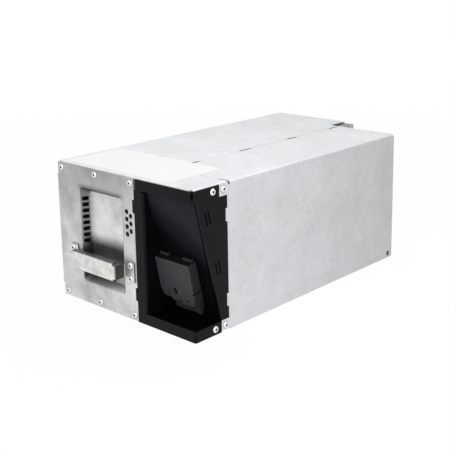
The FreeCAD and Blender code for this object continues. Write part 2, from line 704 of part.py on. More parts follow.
# ---------------------------------------------------------------------------------------
# Handle: one folded channel with narrow legs and two riveted feet
# ---------------------------------------------------------------------------------------
handle = piece("handle")
span = S["grip_span"] / 2
reach = S["grip_reach"]
foot = S["foot_length"]
grip_fold = S["grip_bend"] + t
# all sizes from the handle's own middle on the face of the front plate
pad(handle, "XY", -(S["leg_height"] / 2), S["leg_height"],
    [(-span - foot, -t), (-span, -t), (-span, -reach), (span, -reach), (span, -t),
     (span + foot, -t), (span + foot, 0), (span - t, 0), (span - t, t - reach),
     (t - span, t - reach), (t - span, 0), (-span - foot, 0)])
round_edges(handle, grip_fold, [(-span, -reach, 0), (span, -reach, 0),
                                (t - span, 0, 0), (span - t, 0, 0)])
round_edges(handle, S["grip_bend"], [(t - span, t - reach, 0), (span - t, t - reach, 0),
                                     (-span, -t, 0), (span, -t, 0)])
# the grip's face with its upper and lower flanges, stopped short of the legs
half_grip = S["grip_height"] / 2
deep = S["grip_flange"] - reach
run = span - grip_fold - 0.4
pad(handle, "YZ", -run, 2 * run,
    [(-reach, -half_grip), (deep, -half_grip), (deep, t - half_grip), (t - reach, t - half_grip),
     (t - reach, half_grip - t), (deep, half_grip - t), (deep, half_grip),
     (-reach, half_grip)])
bend_edges(handle, [(0, -reach, -half_grip), (0, -reach, half_grip)],
           [(0, t - reach, t - half_grip), (0, t - reach, half_grip - t)])
# feet
half_foot = S["foot_height"] / 2
inner_foot = span + grip_fold - t
for side in (-1, 1):
    points = box_points(inner_foot, -half_foot, span + foot, half_foot)
    pad(handle, "XZ", -t, t, [(side * u, v) for u, v in points])
feet_edges = [(side * x, -t / 2, rise * half_foot)
              for side in (-1, 1) for rise in (-1, 1) for x in (inner_foot, span + foot)]
round_edges(handle, S["foot_corner"] / 2, feet_edges)
pocket(handle, "XZ", -2 * t, 3 * t,
       circles=[(side * S["grip_rivet"], rise * S["grip_rivet_rise"], rivet_hole)
                for side in (-1, 1) for rise in (-1, 1)])
place(handle, S["grip_middle"], 0, S["grip_level"])

# ---------------------------------------------------------------------------------------
# Bay frame: black folded sheet around the corner, open at the front and the side
# ---------------------------------------------------------------------------------------
frame = piece("bay_frame")
low = S["plate_drop"] / 2
lip = S["bay_lip"]
edge_clear = 0.4
pad(frame, "XZ", 0, t,
    [(seam, low), (width, low), (width, lip), (bay_left, lip), (bay_left, bay_top),
     (width, bay_top), (width, front_top), (seam + 1.4, front_top), (seam + 1.4, bay_top - 0.8),
     (seam, bay_top - 0.8)])
# side sheet with its sloping edge, notched for the right cover's tabs
side_low = lip
rear = bay_rear - gap
notch_y = tab_front - gap
pad(frame, "YZ", width - t, t,
    [(0, low), (bay_side - gap, low), (bay_side - gap, corner_low + gap),
     (rear, corner_low + gap), (rear, tab_low - gap), (notch_y, tab_low - gap),
     (notch_y, tab_low + S["tab_height"] + gap), (rear, tab_low + S["tab_height"] + gap),
     (rear, tab_high - gap), (notch_y, tab_high - gap),
     (notch_y, tab_high + S["tab_height"] + gap), (rear, tab_high + S["tab_height"] + gap),
     (rear, corner_high - gap), (bay_side - gap, corner_high - gap),
     (bay_side - gap, front_top), (0, front_top), (0, bay_top),
     (slope_y(bay_top), bay_top), (slope_y(side_low), side_low), (0, side_low)])
upper_z = bay_top + S["bay_bar"] / 4
bend_edges(frame, [(width, 0, lip / 2), (width, 0, upper_z)],
           [(width - t, t, lip / 2), (width - t, t, upper_z)])
# bend relief at the upper corner
pocket(frame, "XY", bay_top + S["bay_bar"] / 3, S["bay_bar"],
       box_points(width - fold, -t, width + t, fold - 0.4))
# cheek folded back along the left strip
pad(frame, "YZ", bay_left - t, t,
    [(0, lip + t), (slope_y(lip + t, -edge_clear), lip + t),
     (slope_y(bay_top - t, -edge_clear), bay_top - t), (0, bay_top - t)])
relief_x = bay_left - fold - 0.3
pocket(frame, "XZ", 0, t, box_points(relief_x, lip, bay_left, lip + t),
       box_points(relief_x, bay_top - t, bay_left, bay_top))
bend_edges(frame, [(bay_left, 0, height / 2)], [(bay_left - t, t, height / 2)])
# tabs that locate in the front plate's notches
for tab_z in (S["front_tab_low"], S["front_tab_high"]):
    pad(frame, "XZ", 0, t,
        box_points(notch_x + S["plate_edge"], tab_z, seam + 1, tab_z + S["tab_height"]))
run_y = S["slit_length"] * sine(S["panel_tilt"]) / 2
run_z = S["slit_length"] * cosine(S["panel_tilt"]) / 2
for level in (S["slit_high"], S["slit_low"]):
    for k in (0, 1):
        slit_y = slope_y(level) + S["slit_inset"] + k * S["slit_pitch"]
        centre_z = level + k * 0.6
        half = S["slit_width"] / 2
        pocket(frame, "YZ", width - 2 * t, 3 * t,
               [(slit_y + run_y - half, centre_z - run_z),
                (slit_y + run_y + half, centre_z - run_z),
                (slit_y - run_y + half, centre_z + run_z),
                (slit_y - run_y - half, centre_z + run_z)])
pocket(frame, "YZ", width - 2 * t, 3 * t,
       circles=[(S["bay_rivet"], rivet_z, rivet_hole),
                (S["bay_rivet"], S["rivet_inset"], rivet_hole)])
place(frame)

# ---------------------------------------------------------------------------------------
# Connector panel: sloping sheet with an upright upper flange and the bay's floor
# ---------------------------------------------------------------------------------------
panel = piece("connector_panel")
bay_floor = floor_top + t
panel_left = seam + gap
panel_right = width - 2 * t - S["bend"] - 0.1
thick = t / cosine(S["panel_tilt"])
half_turn = t * tangent(S["panel_tilt"] / 2)
panel_top = height - t - S["bend"] - 0.1
floor_front = panel_front + S["bend"] + 0.1
foot_y = panel_front + (turn_z - bay_floor) * lean
foot_back = panel_front + (turn_z - floor_top) * lean + thick
pad(panel, "YZ", panel_left, panel_right - panel_left,
    [(panel_front, panel_top), (panel_front, turn_z), (foot_y, bay_floor),
     (floor_front, bay_floor), (floor_front, floor_top), (foot_back, floor_top),
     (panel_front + t, turn_z + half_turn), (panel_front + t, panel_top)])
middle_x = (panel_left + panel_right) / 2
round_edges(panel, fold, [(middle_x, foot_back, floor_top)])
round_edges(panel, S["bend"], [(middle_x, foot_y, bay_floor)])
# floor notched beside the side rivet
pocket(panel, "XY", floor_top, 2 * t,
       box_points(width - 2 * t - 3.4, S["bay_rivet"] - 2.8, width, S["bay_rivet"] + 2.8))
plug_x = width - S["plug_right"] - S["plug_width"] / 2
plug_top_y = panel_front + S["plug_drop"] * sine(S["panel_tilt"])
plug_top_z = turn_z - S["plug_drop"] * cosine(S["panel_tilt"])
root_half = S["plug_root_width"] / 2
root_top = 4.0
root_low = S["plug_length"] - 4
pocket(panel, "XZ", panel_front, foot_back,
       box_points(plug_x - root_half - gap, plug_top_z - root_low * cosine(S["panel_tilt"]) - 1,
                  plug_x + root_half + gap,
                  plug_top_z - root_top * cosine(S["panel_tilt"]) + 1))
place(panel)

# ---------------------------------------------------------------------------------------
# Two-pole connector: upright frame with -Y out of the panel and +Z up its slope
# ---------------------------------------------------------------------------------------
plug = piece("connector_housing")
half_plug = S["plug_width"] / 2
rise = S["plug_rise"]
face = S["plug_length"]
jaw = face + S["plug_jaw"]
pad(plug, "YZ", -half_plug, S["plug_width"],
    [(0, 0), (-rise, 0), (-rise - 1.6, -face), (4.6 - rise, -jaw), (-0.8, 5.4 - jaw),
     (0, 8 - jaw)])
# the front shell ends in steps above the jaw
shell = 3.4
pocket(plug, "XZ", -2 * rise, rise + shell,
       [(-half_plug - 1, -face + 3.0), (-7.5, -face + 3.0), (-7.5, -face + 1.2),
        (0.5, -face + 1.2), (0.5, -face + 2.6), (3.6, -face + 2.6), (3.6, -face),
        (half_plug + 1, -face), (half_plug + 1, -jaw - 1), (-half_plug - 1, -jaw - 1)])
# parting groove across the right side, and the jaw set in below it
pocket(plug, "XZ", -2 * rise, 2 * rise,
       [(half_plug - 1.4, -26.6), (half_plug + 1, -26.6), (half_plug + 1, -25.4),
        (half_plug - 1.4, -25.4)],
       box_points(half_plug - 0.8, -jaw - 1, half_plug + 1, -31.5))
# two lugs over the top edge, against the panel
for near_x, far_x in ((-18.2, -8.8), (7.6, 17.2)):
    pad(plug, "XZ", -2.5, 2.5, box_points(near_x, -1, far_x, 2.4))
# shoulder where the left side narrows to the mating end
shoulder = -19.0
pocket(plug, "XZ", -2 * rise, 3 * rise,
       [(-half_plug - 1, shoulder), (-half_plug, shoulder, -half_plug + 1.9, -31.0, 26.0),
        (-half_plug + 8.6, -41.5), (-half_plug + 8.6, -jaw - 1), (-half_plug - 1, -jaw - 1)])
# root that passes through the panel, with the two lead barrels' seats
pad(plug, "XZ", -0.5, S["plug_root_depth"] + 0.5,
    box_points(-root_half, -root_low, root_half, -root_top))
contact_x = S["contact_pitch"] / 2
for side in (-1, 1):
    x = side * contact_x
    wide = S["contact_width"] / 2 + gap
    # mating opening in the end of the jaw
    pocket(plug, "XY", -jaw - 1, S["plug_jaw"] + 17,
           box_points(x - wide, -rise + shell + 0.6, x + wide, -1.2))
# oval screw hole: two straight sides along (0.4, -0.917) and two round ends
oval = []
for side, end in ((-1, -1), (-1, 1), (1, 1), (1, -1)):
    point = (end * 0.52 + side * 1.833 - 1.7, side * 0.8 - end * 1.192 - 27.0)
    if side == end:
        oval.append(point)
    else:
        oval.append(point + (end * 1.104 - 1.7, -27.0 - end * 2.531, 2.1))
pocket(plug, "XZ", -rise - 3, 8.5, oval)
# relief slot beside the shoulder, and the tie hole
pocket(plug, "XZ", -rise - 3, 6.0, box_points(-9.9, -35.4, -8.8, -26.4),
       circles=[(11.2, -33.6, 1.1)])
place(plug, plug_x, plug_top_y, plug_top_z, Vector(1, 0, 0), S["panel_tilt"])

contacts = piece("connector_contacts", groups=True)
blade_y = -rise + shell + 1.4
blade_half = S["contact_width"] / 2
for side in (-1, 1):
    x = side * contact_x
    pad(contacts, "XY", -jaw + 6, S["plug_jaw"] + 10 - gap,
        box_points(x - blade_half, blade_y, x + blade_half, blade_y + S["contact_sheet"]))
place(contacts, plug_x, plug_top_y, plug_top_z, Vector(1, 0, 0), S["panel_tilt"])

# ---------------------------------------------------------------------------------------
# Blind rivets: domed head, shank and the bulb behind the sheets
# ---------------------------------------------------------------------------------------
def rivets(label, grip, across, along_z, x, y, z, turned=False, raised=0):
    """A grid of rivets set in one plane, heads towards -Y (or +X when turned)."""
    body = piece(label, groups=True)
    sketch = new_sketch(body, "XY", 0)
    head, shank = S["rivet_head"], S["rivet_shank"]
    dome = S["rivet_dome"]
    bulb = shank * 1.3
    reach_in = as_size(grip)
    points = [(0, -dome), (head * 0.55, -dome), (head, 0), (shank, 0), (shank, reach_in),
              (bulb, reach_in), (bulb * 0.7, reach_in + 2.6), (0, reach_in + 2.6)]
    loop(sketch, points)
    turn = body.newObject("PartDesign::Revolution", label + "_turned")
    turn.Profile = sketch
    turn.ReferenceAxis = (sketch, ["V_Axis"])
    turn.Angle = 360
    doc.recompute()
    copies, spacing = across
    rows, lift = along_z
    repeat(body, turn, "X", spacing, copies, "Z", lift, rows)
    if turned:
        place(body, x, y, z, Vector(0, 0, 1), 90)
    else:
        place(body, x, y, z)
    return body


rivets("front_rivets", 2 * t, (3, S["rivet_pitch"]), (2, rivet_z - S["rivet_inset"]),
       S["rivet_inset"] + t, 0, S["rivet_inset"])
rivets("handle_rivets", 2 * t, (2, 2 * S["grip_rivet"]), (2, 2 * S["grip_rivet_rise"]),
       grip_x - S["grip_rivet"], -t, grip_z - S["grip_rivet_rise"])
rivets("side_rivets", 2 * t, (2, S["bay_rivet_pitch"]), (2, rivet_z - S["rivet_inset"]),
       width, S["bay_rivet"], S["rivet_inset"], turned=True)

# ---------------------------------------------------------------------------------------
# Battery blocks: case, lid band, posts, straps and screws
# ---------------------------------------------------------------------------------------
def block(label, x, y, across, along):
    """One sealed block with its lid band, standing on the floor."""
    body = piece(label)
    tall = S["block_height"]
    cut = S["block_corner"]
    pad(body, "XY", 0, tall,
        [(cut, 0), (across - cut, 0), (across, cut), (across, along - cut),
         (across - cut, along), (cut, along), (0, along - cut), (0, cut)])
    groove = S["lid_groove"]
    seat = tall - S["lid_height"]
    pocket(body, "XY", seat, 1.2,
           box_points(-1, -1, across + 1, along + 1),
           box_points(groove, groove, across - groove, along - groove))
    # shallow recess over the vent valves
    pocket(body, "XY", tall - 0.8, 2,
           box_points(across / 2 - 11, along / 2 - 18, across / 2 + 11, along / 2 + 18))
    place(body, x, y, floor_top)
    return body


left_x = t + gap
for k in range(4):
    block("battery_left_%d" % (k + 1), left_x, S["front_space"] + k * block_pitch,
          S["block_length"], S["block_width"])
for k in range(2):
    block("battery_right_%d" % (k + 1), right_block_x, S["harness_space"] + k * right_pitch,
          S["block_width"], S["block_length"])

left_post_x = left_x + S["block_length"] - S["post_inset"]
right_post_x = right_block_x + S["block_width"] / 2 - S["post_pitch"] / 2
right_post_y = S["harness_space"] + S["post_inset"]
right_post_far = right_post_x + S["post_pitch"]
left_posts = [(left_post_x, front_post_y + k * block_pitch + side * S["post_pitch"])
              for k in range(4) for side in (0, 1)]
right_posts = [(right_post_x + side * S["post_pitch"], right_post_y + k * right_pitch)
               for k in range(2) for side in (0, 1)]
strap_top = derived("strap_top", post_top + S["strap_sheet"])


def discs(body, at, tall, spots, radius):
    """Pad one round peg at every spot."""
    sketch = new_sketch(body, "XY", at)
    for x, y in spots:
        circle(sketch, x, y, radius)
    return feature(body, "Pad", sketch, tall, "XY")


def pegs(body, at, tall, spots, outline):
    """Pad one small upright prism at every spot."""
    return pad(body, "XY", at, tall, *[[(x + u, y + v) for u, v in outline] for x, y in spots])


posts = piece("terminal_posts", groups=True)
half_post = S["post_radius"]
pegs(posts, lid_top, S["post_height"], left_posts + right_posts,
     box_points(-half_post, -half_post, half_post, half_post))
place(posts)

screws = piece("terminal_screws", groups=True)
head = S["screw_radius"]
pegs(screws, strap_top, S["screw_height"], left_posts + right_posts,
     [(head, 0), (head * 0.5, head * 0.866), (head * -0.5, head * 0.866), (-head, 0),
      (head * -0.5, head * -0.866), (head * 0.5, head * -0.866)])
place(screws)

straps = piece("series_straps", groups=True)
half_strap = S["strap_width"] / 2
strap = S["strap_sheet"]
links = []
for k in range(3):
    (x, y), (_, y2) = left_posts[2 * k + 1], left_posts[2 * k + 2]
    links.append(box_points(x - half_strap, y - half_strap, x + half_strap, y2 + half_strap))
links.append(box_points(right_post_x - half_strap, right_post_y - half_strap,
                        right_post_x + half_strap, right_post_y + right_pitch + half_strap))
far_y = right_post_y + right_pitch
links.append([(right_post_far - half_strap, far_y - half_strap),
              (right_post_far + half_strap, far_y - half_strap),
              (right_post_far + half_strap, cross_y + half_strap),
              (left_post_x + half_strap, cross_y + half_strap),
              (left_post_x + half_strap, rear_post_y + half_strap),
              (left_post_x - half_strap, rear_post_y + half_strap),
              (left_post_x - half_strap, cross_y - half_strap),
              (right_post_far - half_strap, cross_y - half_strap)])
pad(straps, "XY", post_top, strap, *links)
place(straps)

# ---------------------------------------------------------------------------------------
# Foam that holds the blocks down, and the pad behind the dish
# ---------------------------------------------------------------------------------------
foam = piece("foam_strips", groups=True)
foam_gap = S["foam_gap"]
foam_tall = height - t - lid_top - gap
pad(foam, "XY", lid_top, foam_tall,
    box_points(left_x + foam_gap, S["front_space"] + foam_gap,
               left_post_x - foam_gap, length - 2 * t - foam_gap),
    box_points(right_post_x + foam_gap, right_post_y,
               right_post_far - foam_gap, cross_y - foam_gap))
place(foam)

front_foam = piece("front_foam")
pad(front_foam, "XZ", S["dish_depth"] + t + gap, S["front_space"] - S["dish_depth"] - t - 2 * gap,
    box_points(dish_l + 8, dish_b + 8, dish_r - 8, dish_t - 12))
place(front_foam)

# ---------------------------------------------------------------------------------------
# Lead grommets in the divider's windows
# ---------------------------------------------------------------------------------------
grommets = piece("lead_grommets", groups=True)
sketch = new_sketch(grommets, "XY", 0)
ring = S["window_radius"]
loop(sketch, [(ring - 1.3, -1.4), (ring + 1.1, -1.4), (ring + 1.1, 0), (ring, 0), (ring, t),
              (ring + 1.1, t), (ring + 1.1, t + 1.4), (ring - 1.3, t + 1.4)])
turn = grommets.newObject("PartDesign::Revolution", "lead_grommets_turned")
turn.Profile = sketch
turn.ReferenceAxis = (sketch, ["V_Axis"])
turn.Angle = 360
doc.recompute()
repeat(grommets, turn, "X", cross_y - front_post_y, 2)
# turned so that the ring's own axis runs across the divider
place(grommets, divider_x + t, front_post_y, window_z, Vector(0, 0, 1), 90)

# ---------------------------------------------------------------------------------------
# Fuse on the divider's right face, and the main leads with their lugs
# ---------------------------------------------------------------------------------------
fuse_x = derived("fuse_x", divider_x + t + 8 + S["fuse_radius"] + 1)
fuse_y = S["fuse_back"]
fuse_low = S["fuse_level"] - S["fuse_length"] / 2
fuse_high = S["fuse_level"] + S["fuse_length"] / 2
cap = 8.0

holder = piece("fuse_holder")
pad(holder, "XY", fuse_low - 9, S["fuse_length"] + 18,
    box_points(divider_x + t, fuse_y - 9, divider_x + t + 7, fuse_y + 9))
round_edges(holder, 2.0, [(divider_x + t + 7, fuse_y - 9, S["fuse_level"]),
                          (divider_x + t + 7, fuse_y + 9, S["fuse_level"])])
for level in (fuse_low - 9, fuse_high + 6):
    pad(holder, "XY", level, 3,
        box_points(divider_x + t + 5, fuse_y - 7, fuse_x + S["fuse_radius"] + 1, fuse_y + 7))
place(holder)

clips = piece("fuse_clips", groups=True)
grip_r = S["fuse_radius"] + 0.4
for level in (fuse_low + 0.5, fuse_high - cap + 0.5):
    pad(clips, "XY", level, cap - 1,
        [(divider_x + t + 7, fuse_y - grip_r - 1), (fuse_x + 4, fuse_y - grip_r - 1),
         (fuse_x + 4, fuse_y - grip_r), (divider_x + t + 8, fuse_y - grip_r),
         (divider_x + t + 8, fuse_y + grip_r), (fuse_x + 4, fuse_y + grip_r),
         (fuse_x + 4, fuse_y + grip_r + 1), (divider_x + t + 7, fuse_y + grip_r + 1)])
place(clips)

fuse = piece("fuse")
discs(fuse, fuse_low, S["fuse_length"], [(fuse_x, fuse_y)], S["fuse_radius"])
discs(fuse, fuse_low, cap, [(fuse_x, fuse_y)], S["fuse_radius"] + 0.4)
discs(fuse, fuse_high - cap, cap, [(fuse_x, fuse_y)], S["fuse_radius"] + 0.4)
place(fuse)


def rounded_path(points):
    """Straight runs joined by tangent arcs, each as large as its two runs allow."""
    edges = []
    at = points[0]
    for before, corner, after in zip(points, points[1:], points[2:]):
        run_in, run_out = corner - before, after - corner
        turn = run_in.getAngle(run_out)
        cut = 0.45 * min(run_in.Length, run_out.Length)
        start = corner - run_in.normalize() * cut
        end = corner + run_out.normalize() * cut
        radius = cut / math.tan(turn / 2)
        inward = (start + end) * 0.5 - corner
        reach_in = radius / math.cos(turn / 2) - radius
        edges.append(Part.LineSegment(at, start).toShape())
        middle = corner + inward.normalize() * reach_in
        edges.append(Part.Arc(start, middle, end).toShape())
        at = end
    edges.append(Part.LineSegment(at, points[-1]).toShape())
    return Part.Wire(edges)


def lead(label, *points):
    """Round insulated lead along a rounded path."""
    spots = [Vector(*[number(c) for c in p]) for p in points]
    path = rounded_path(spots)
    start = spots[1] - spots[0]
    radius = S["lead_radius"].value
    turn = Rotation(Vector(0, 0, 1), start)
    corners = [spots[0] + turn.multVec(Vector(radius * math.cos(math.radians(30 * k)),
                                              radius * math.sin(math.radians(30 * k)), 0))
               for k in range(12)]
    section = Part.makePolygon(corners + corners[:1])
    tube = path.makePipeShell([section], True, False)
    expected = 3 * radius ** 2 * path.Length
    if abs(tube.Volume - expected) > 0.02 * expected:
        raise ValueError("%s does not follow its path" % label)
    item = doc.addObject("Part::Feature", label)
    item.Label = label
    item.Shape = tube
    place(item)
    NODES.append(item)
    return item


def in_plug(x, y, z):
    """Corner-frame point of a place given in the connector's own frame."""
    s, c = sine(S["panel_tilt"]), cosine(S["panel_tilt"])
    return (plug_x + x, plug_top_y + y * c - z * s, plug_top_z + y * s + z * c)


root_y = S["plug_root_depth"]
root_middle = -(root_top + root_low) / 2
barrel = 9.0
lug_z = post_top + 2.8
lug_reach = S["post_radius"] + 0.9 + barrel
lead("lead_negative", in_plug(contact_x, root_y, root_middle),
     in_plug(contact_x, root_y + 18, root_middle),
     (right_post_far, right_post_y - lug_reach - 28, lug_z),
     (right_post_far, right_post_y - lug_reach, lug_z))
lead("lead_positive", in_plug(-contact_x, root_y, root_middle),
     in_plug(-contact_x, root_y + 16, root_middle),
     (fuse_x, fuse_y - grip_r - 18, fuse_low + cap / 2),
     (fuse_x, fuse_y - grip_r - 1, fuse_low + cap / 2))
rise_x = left_post_x + lug_reach + 23
lead("lead_fused", (fuse_x, fuse_y - grip_r - 1, fuse_high - cap / 2),
     (fuse_x, fuse_y - grip_r - 22, fuse_high - cap / 2),
     (rise_x, front_post_y, lug_z - 22),
     (rise_x, front_post_y, lug_z),
     (left_post_x + lug_reach, front_post_y, lug_z))

lugs = piece("lead_lugs", groups=True)
half_lug = 2.9
ends = [(left_post_x, front_post_y, 1, 0), (right_post_far, right_post_y, 0, -1)]
for x, y, across, along in ends:
    near = S["post_radius"] + 0.9
    if across:
        tongue = box_points(x - 4.2, y - 4.2, x + near + 0.1, y + 4.2)
        grip_box = box_points(x + near, y - half_lug, x + lug_reach, y + half_lug)
    else:
        tongue = box_points(x - 4.2, y - near - 0.1, x + 4.2, y + 4.2)
        grip_box = box_points(x - half_lug, y - lug_reach, x + half_lug, y - near)
    pad(lugs, "XY", post_top, strap, tongue)
    pad(lugs, "XY", post_top, 5.6, grip_box)
place(lugs)

# ---------------------------------------------------------------------------------------
# Check every object, then write each piece to its own file
# ---------------------------------------------------------------------------------------
doc.recompute()
for item in doc.Objects:
    if "Invalid" in item.State or "Error" in item.State:
        raise ValueError("%s failed: %s" % (item.Label, item.State))
for node in NODES:
    if node.Shape.isNull() or not node.Shape.isValid() or not node.Shape.Solids:
        raise ValueError("%s has no valid shape" % node.Label)

os.makedirs("parts", exist_ok=True)
for node in NODES:
    node.Shape.exportStep(os.path.join("parts", node.Label + ".step"))
    box = node.Shape.BoundBox
    print("%-20s %2d solids %9.0f mm3  x %.1f %.1f  y %.1f %.1f  z %.1f %.1f" % (
        node.Label, len(node.Shape.Solids), node.Shape.Volume, box.XMin, box.XMax,
        box.YMin, box.YMax, box.ZMin, box.ZMax))
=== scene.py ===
"""Finishes, label and studio for a galvanised battery cartridge with a black connector bay."""
import math

import bmesh
import bpy
from bpy.props import FloatProperty, FloatVectorProperty, PointerProperty
from mathutils import Matrix, Vector


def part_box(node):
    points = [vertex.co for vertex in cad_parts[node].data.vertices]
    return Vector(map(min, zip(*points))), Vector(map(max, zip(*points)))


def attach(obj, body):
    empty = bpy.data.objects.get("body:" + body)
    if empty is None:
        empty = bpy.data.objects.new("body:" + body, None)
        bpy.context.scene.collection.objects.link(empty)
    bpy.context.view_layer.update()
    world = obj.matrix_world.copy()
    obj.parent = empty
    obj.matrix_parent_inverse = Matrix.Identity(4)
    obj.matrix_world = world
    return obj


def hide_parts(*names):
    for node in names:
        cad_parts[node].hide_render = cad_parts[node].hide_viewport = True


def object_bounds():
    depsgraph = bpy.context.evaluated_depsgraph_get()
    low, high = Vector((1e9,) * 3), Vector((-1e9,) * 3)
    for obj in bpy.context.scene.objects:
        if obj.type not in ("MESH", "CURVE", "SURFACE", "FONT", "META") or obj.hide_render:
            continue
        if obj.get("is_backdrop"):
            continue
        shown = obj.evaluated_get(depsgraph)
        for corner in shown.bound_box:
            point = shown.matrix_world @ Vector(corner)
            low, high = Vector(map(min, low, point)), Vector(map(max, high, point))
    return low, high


bl_info = {
    "name": "Battery Cartridge",
    "version": (1, 0, 0),
    "blender": (4, 5, 0),
    "location": "View3D > Sidebar > Cartridge",
    "description": "Zinc, powder coat, plastic and label finishes for a battery cartridge",
    "category": "Object",
}

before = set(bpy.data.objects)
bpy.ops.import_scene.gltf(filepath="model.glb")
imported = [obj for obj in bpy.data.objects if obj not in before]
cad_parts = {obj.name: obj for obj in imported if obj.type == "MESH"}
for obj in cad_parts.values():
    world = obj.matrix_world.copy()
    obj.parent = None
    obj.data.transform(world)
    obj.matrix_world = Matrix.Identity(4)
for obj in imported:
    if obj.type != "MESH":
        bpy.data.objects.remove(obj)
CAD_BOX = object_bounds()

ZINC_PIECES = ("main_cover", "right_cover", "base_tray", "divider")
RIVET_PIECES = ("front_rivets", "handle_rivets", "side_rivets")
BLOCK_PIECES = ("battery_left_1", "battery_left_2", "battery_left_3", "battery_left_4",
                "battery_right_1", "battery_right_2")
TINNED_PIECES = ("terminal_posts", "series_straps", "lead_lugs", "fuse_clips",
                 "connector_contacts")

NOISE_RANGE = (0.3, 0.7)        # where most of a noise pattern lies

# Where the finishes and their painted light and shade change, in metres. Pairs run from the first
# measure to the second.
SIDE_SHADE_START = 0.1                # behind the front, where the sides' painted shade starts
TOP_SHADE_START = 0.08                # behind the front, where the top's painted falloff starts
SEAM_DEPTH = (0.0012, 0.0006)   # below the top, where the seam's slots get painted shade
SHEET_SHADE_START = 0.03              # above the plate's foot, where the sheet's painted light and shade start
DISH_WALL = (0.0012, 0.0060)    # behind the plate's face
DISH_FLOOR = (0.0066, 0.0074)   # behind the plate's face, where the dish floor's painted light comes in
GRIP_SHADOW_HEIGHT = (0.019, 0.069)   # above the plate's foot, painted shadow behind the grip
FOOT_SHADE = (0.046, 0.053)     # above the plate's foot, painted shade on the dish's left wall
LOWER_WALL_SHADE = (0.02, 0.07)      # from the plate's left edge, painted shade along the dish's lower wall
ABOVE_DISH_HEIGHT = (0.0974, 0.1074)   # above the plate's foot, over the dish
ABOVE_DISH_WIDTH = (0.0243, 0.0863)    # from the plate's left edge, over the dish

# Blind rivets: size of the modelled head in metres, then radius and height above the
# sheet along the section in millimetres
RIVET_RADIUS = 0.0033
RIVET_DOME = 0.0012
RIVET_STUB = ((0.0, 0.72), (0.55, 0.66), (0.68, 0.5), (0.68, 0.3))
RIVET_HEAD = ((1.02, 0.3), (1.06, 0.95), (1.3, 1.16), (1.85, 1.05), (2.35, 0.72), (2.62, 0.3),
              (2.7, 0.1))
# a thin disc round each head, coloured as painted contact shadow
RIVET_SHADOW_RING = ((3.0, 0.03), (3.0, 0.0))
RIVET_SHANK = ((1.6, 0.0), (1.6, -2.4), (2.08, -2.4), (2.08, -4.3), (1.46, -5.0), (0.0, -5.0))
RIVET_SIDES = 28
MILLIMETRE = 0.001

LABEL_LIFT = 0.00002            # gap in metres between the top and the label's film

# Studio, in metres
FLOOR_HALF = 6.0
FLOOR_GAP = 0.0002
FLOOR_FADE = (0.3, 1.2)         # distance over which the floor's shadow fades into white
FLOOR_SHARE = (0.94, 1.0)       # share of plain white in the floor, near and far
OVERHEAD = {"place": (0.1, 0.25, 1.3), "aim": (0, 0, 0.06), "size": 1.4}
FRONTAL = {"place": (0.75, -0.95, 0.75), "aim": (0.03, -0.1, 0.06), "size": 0.8}


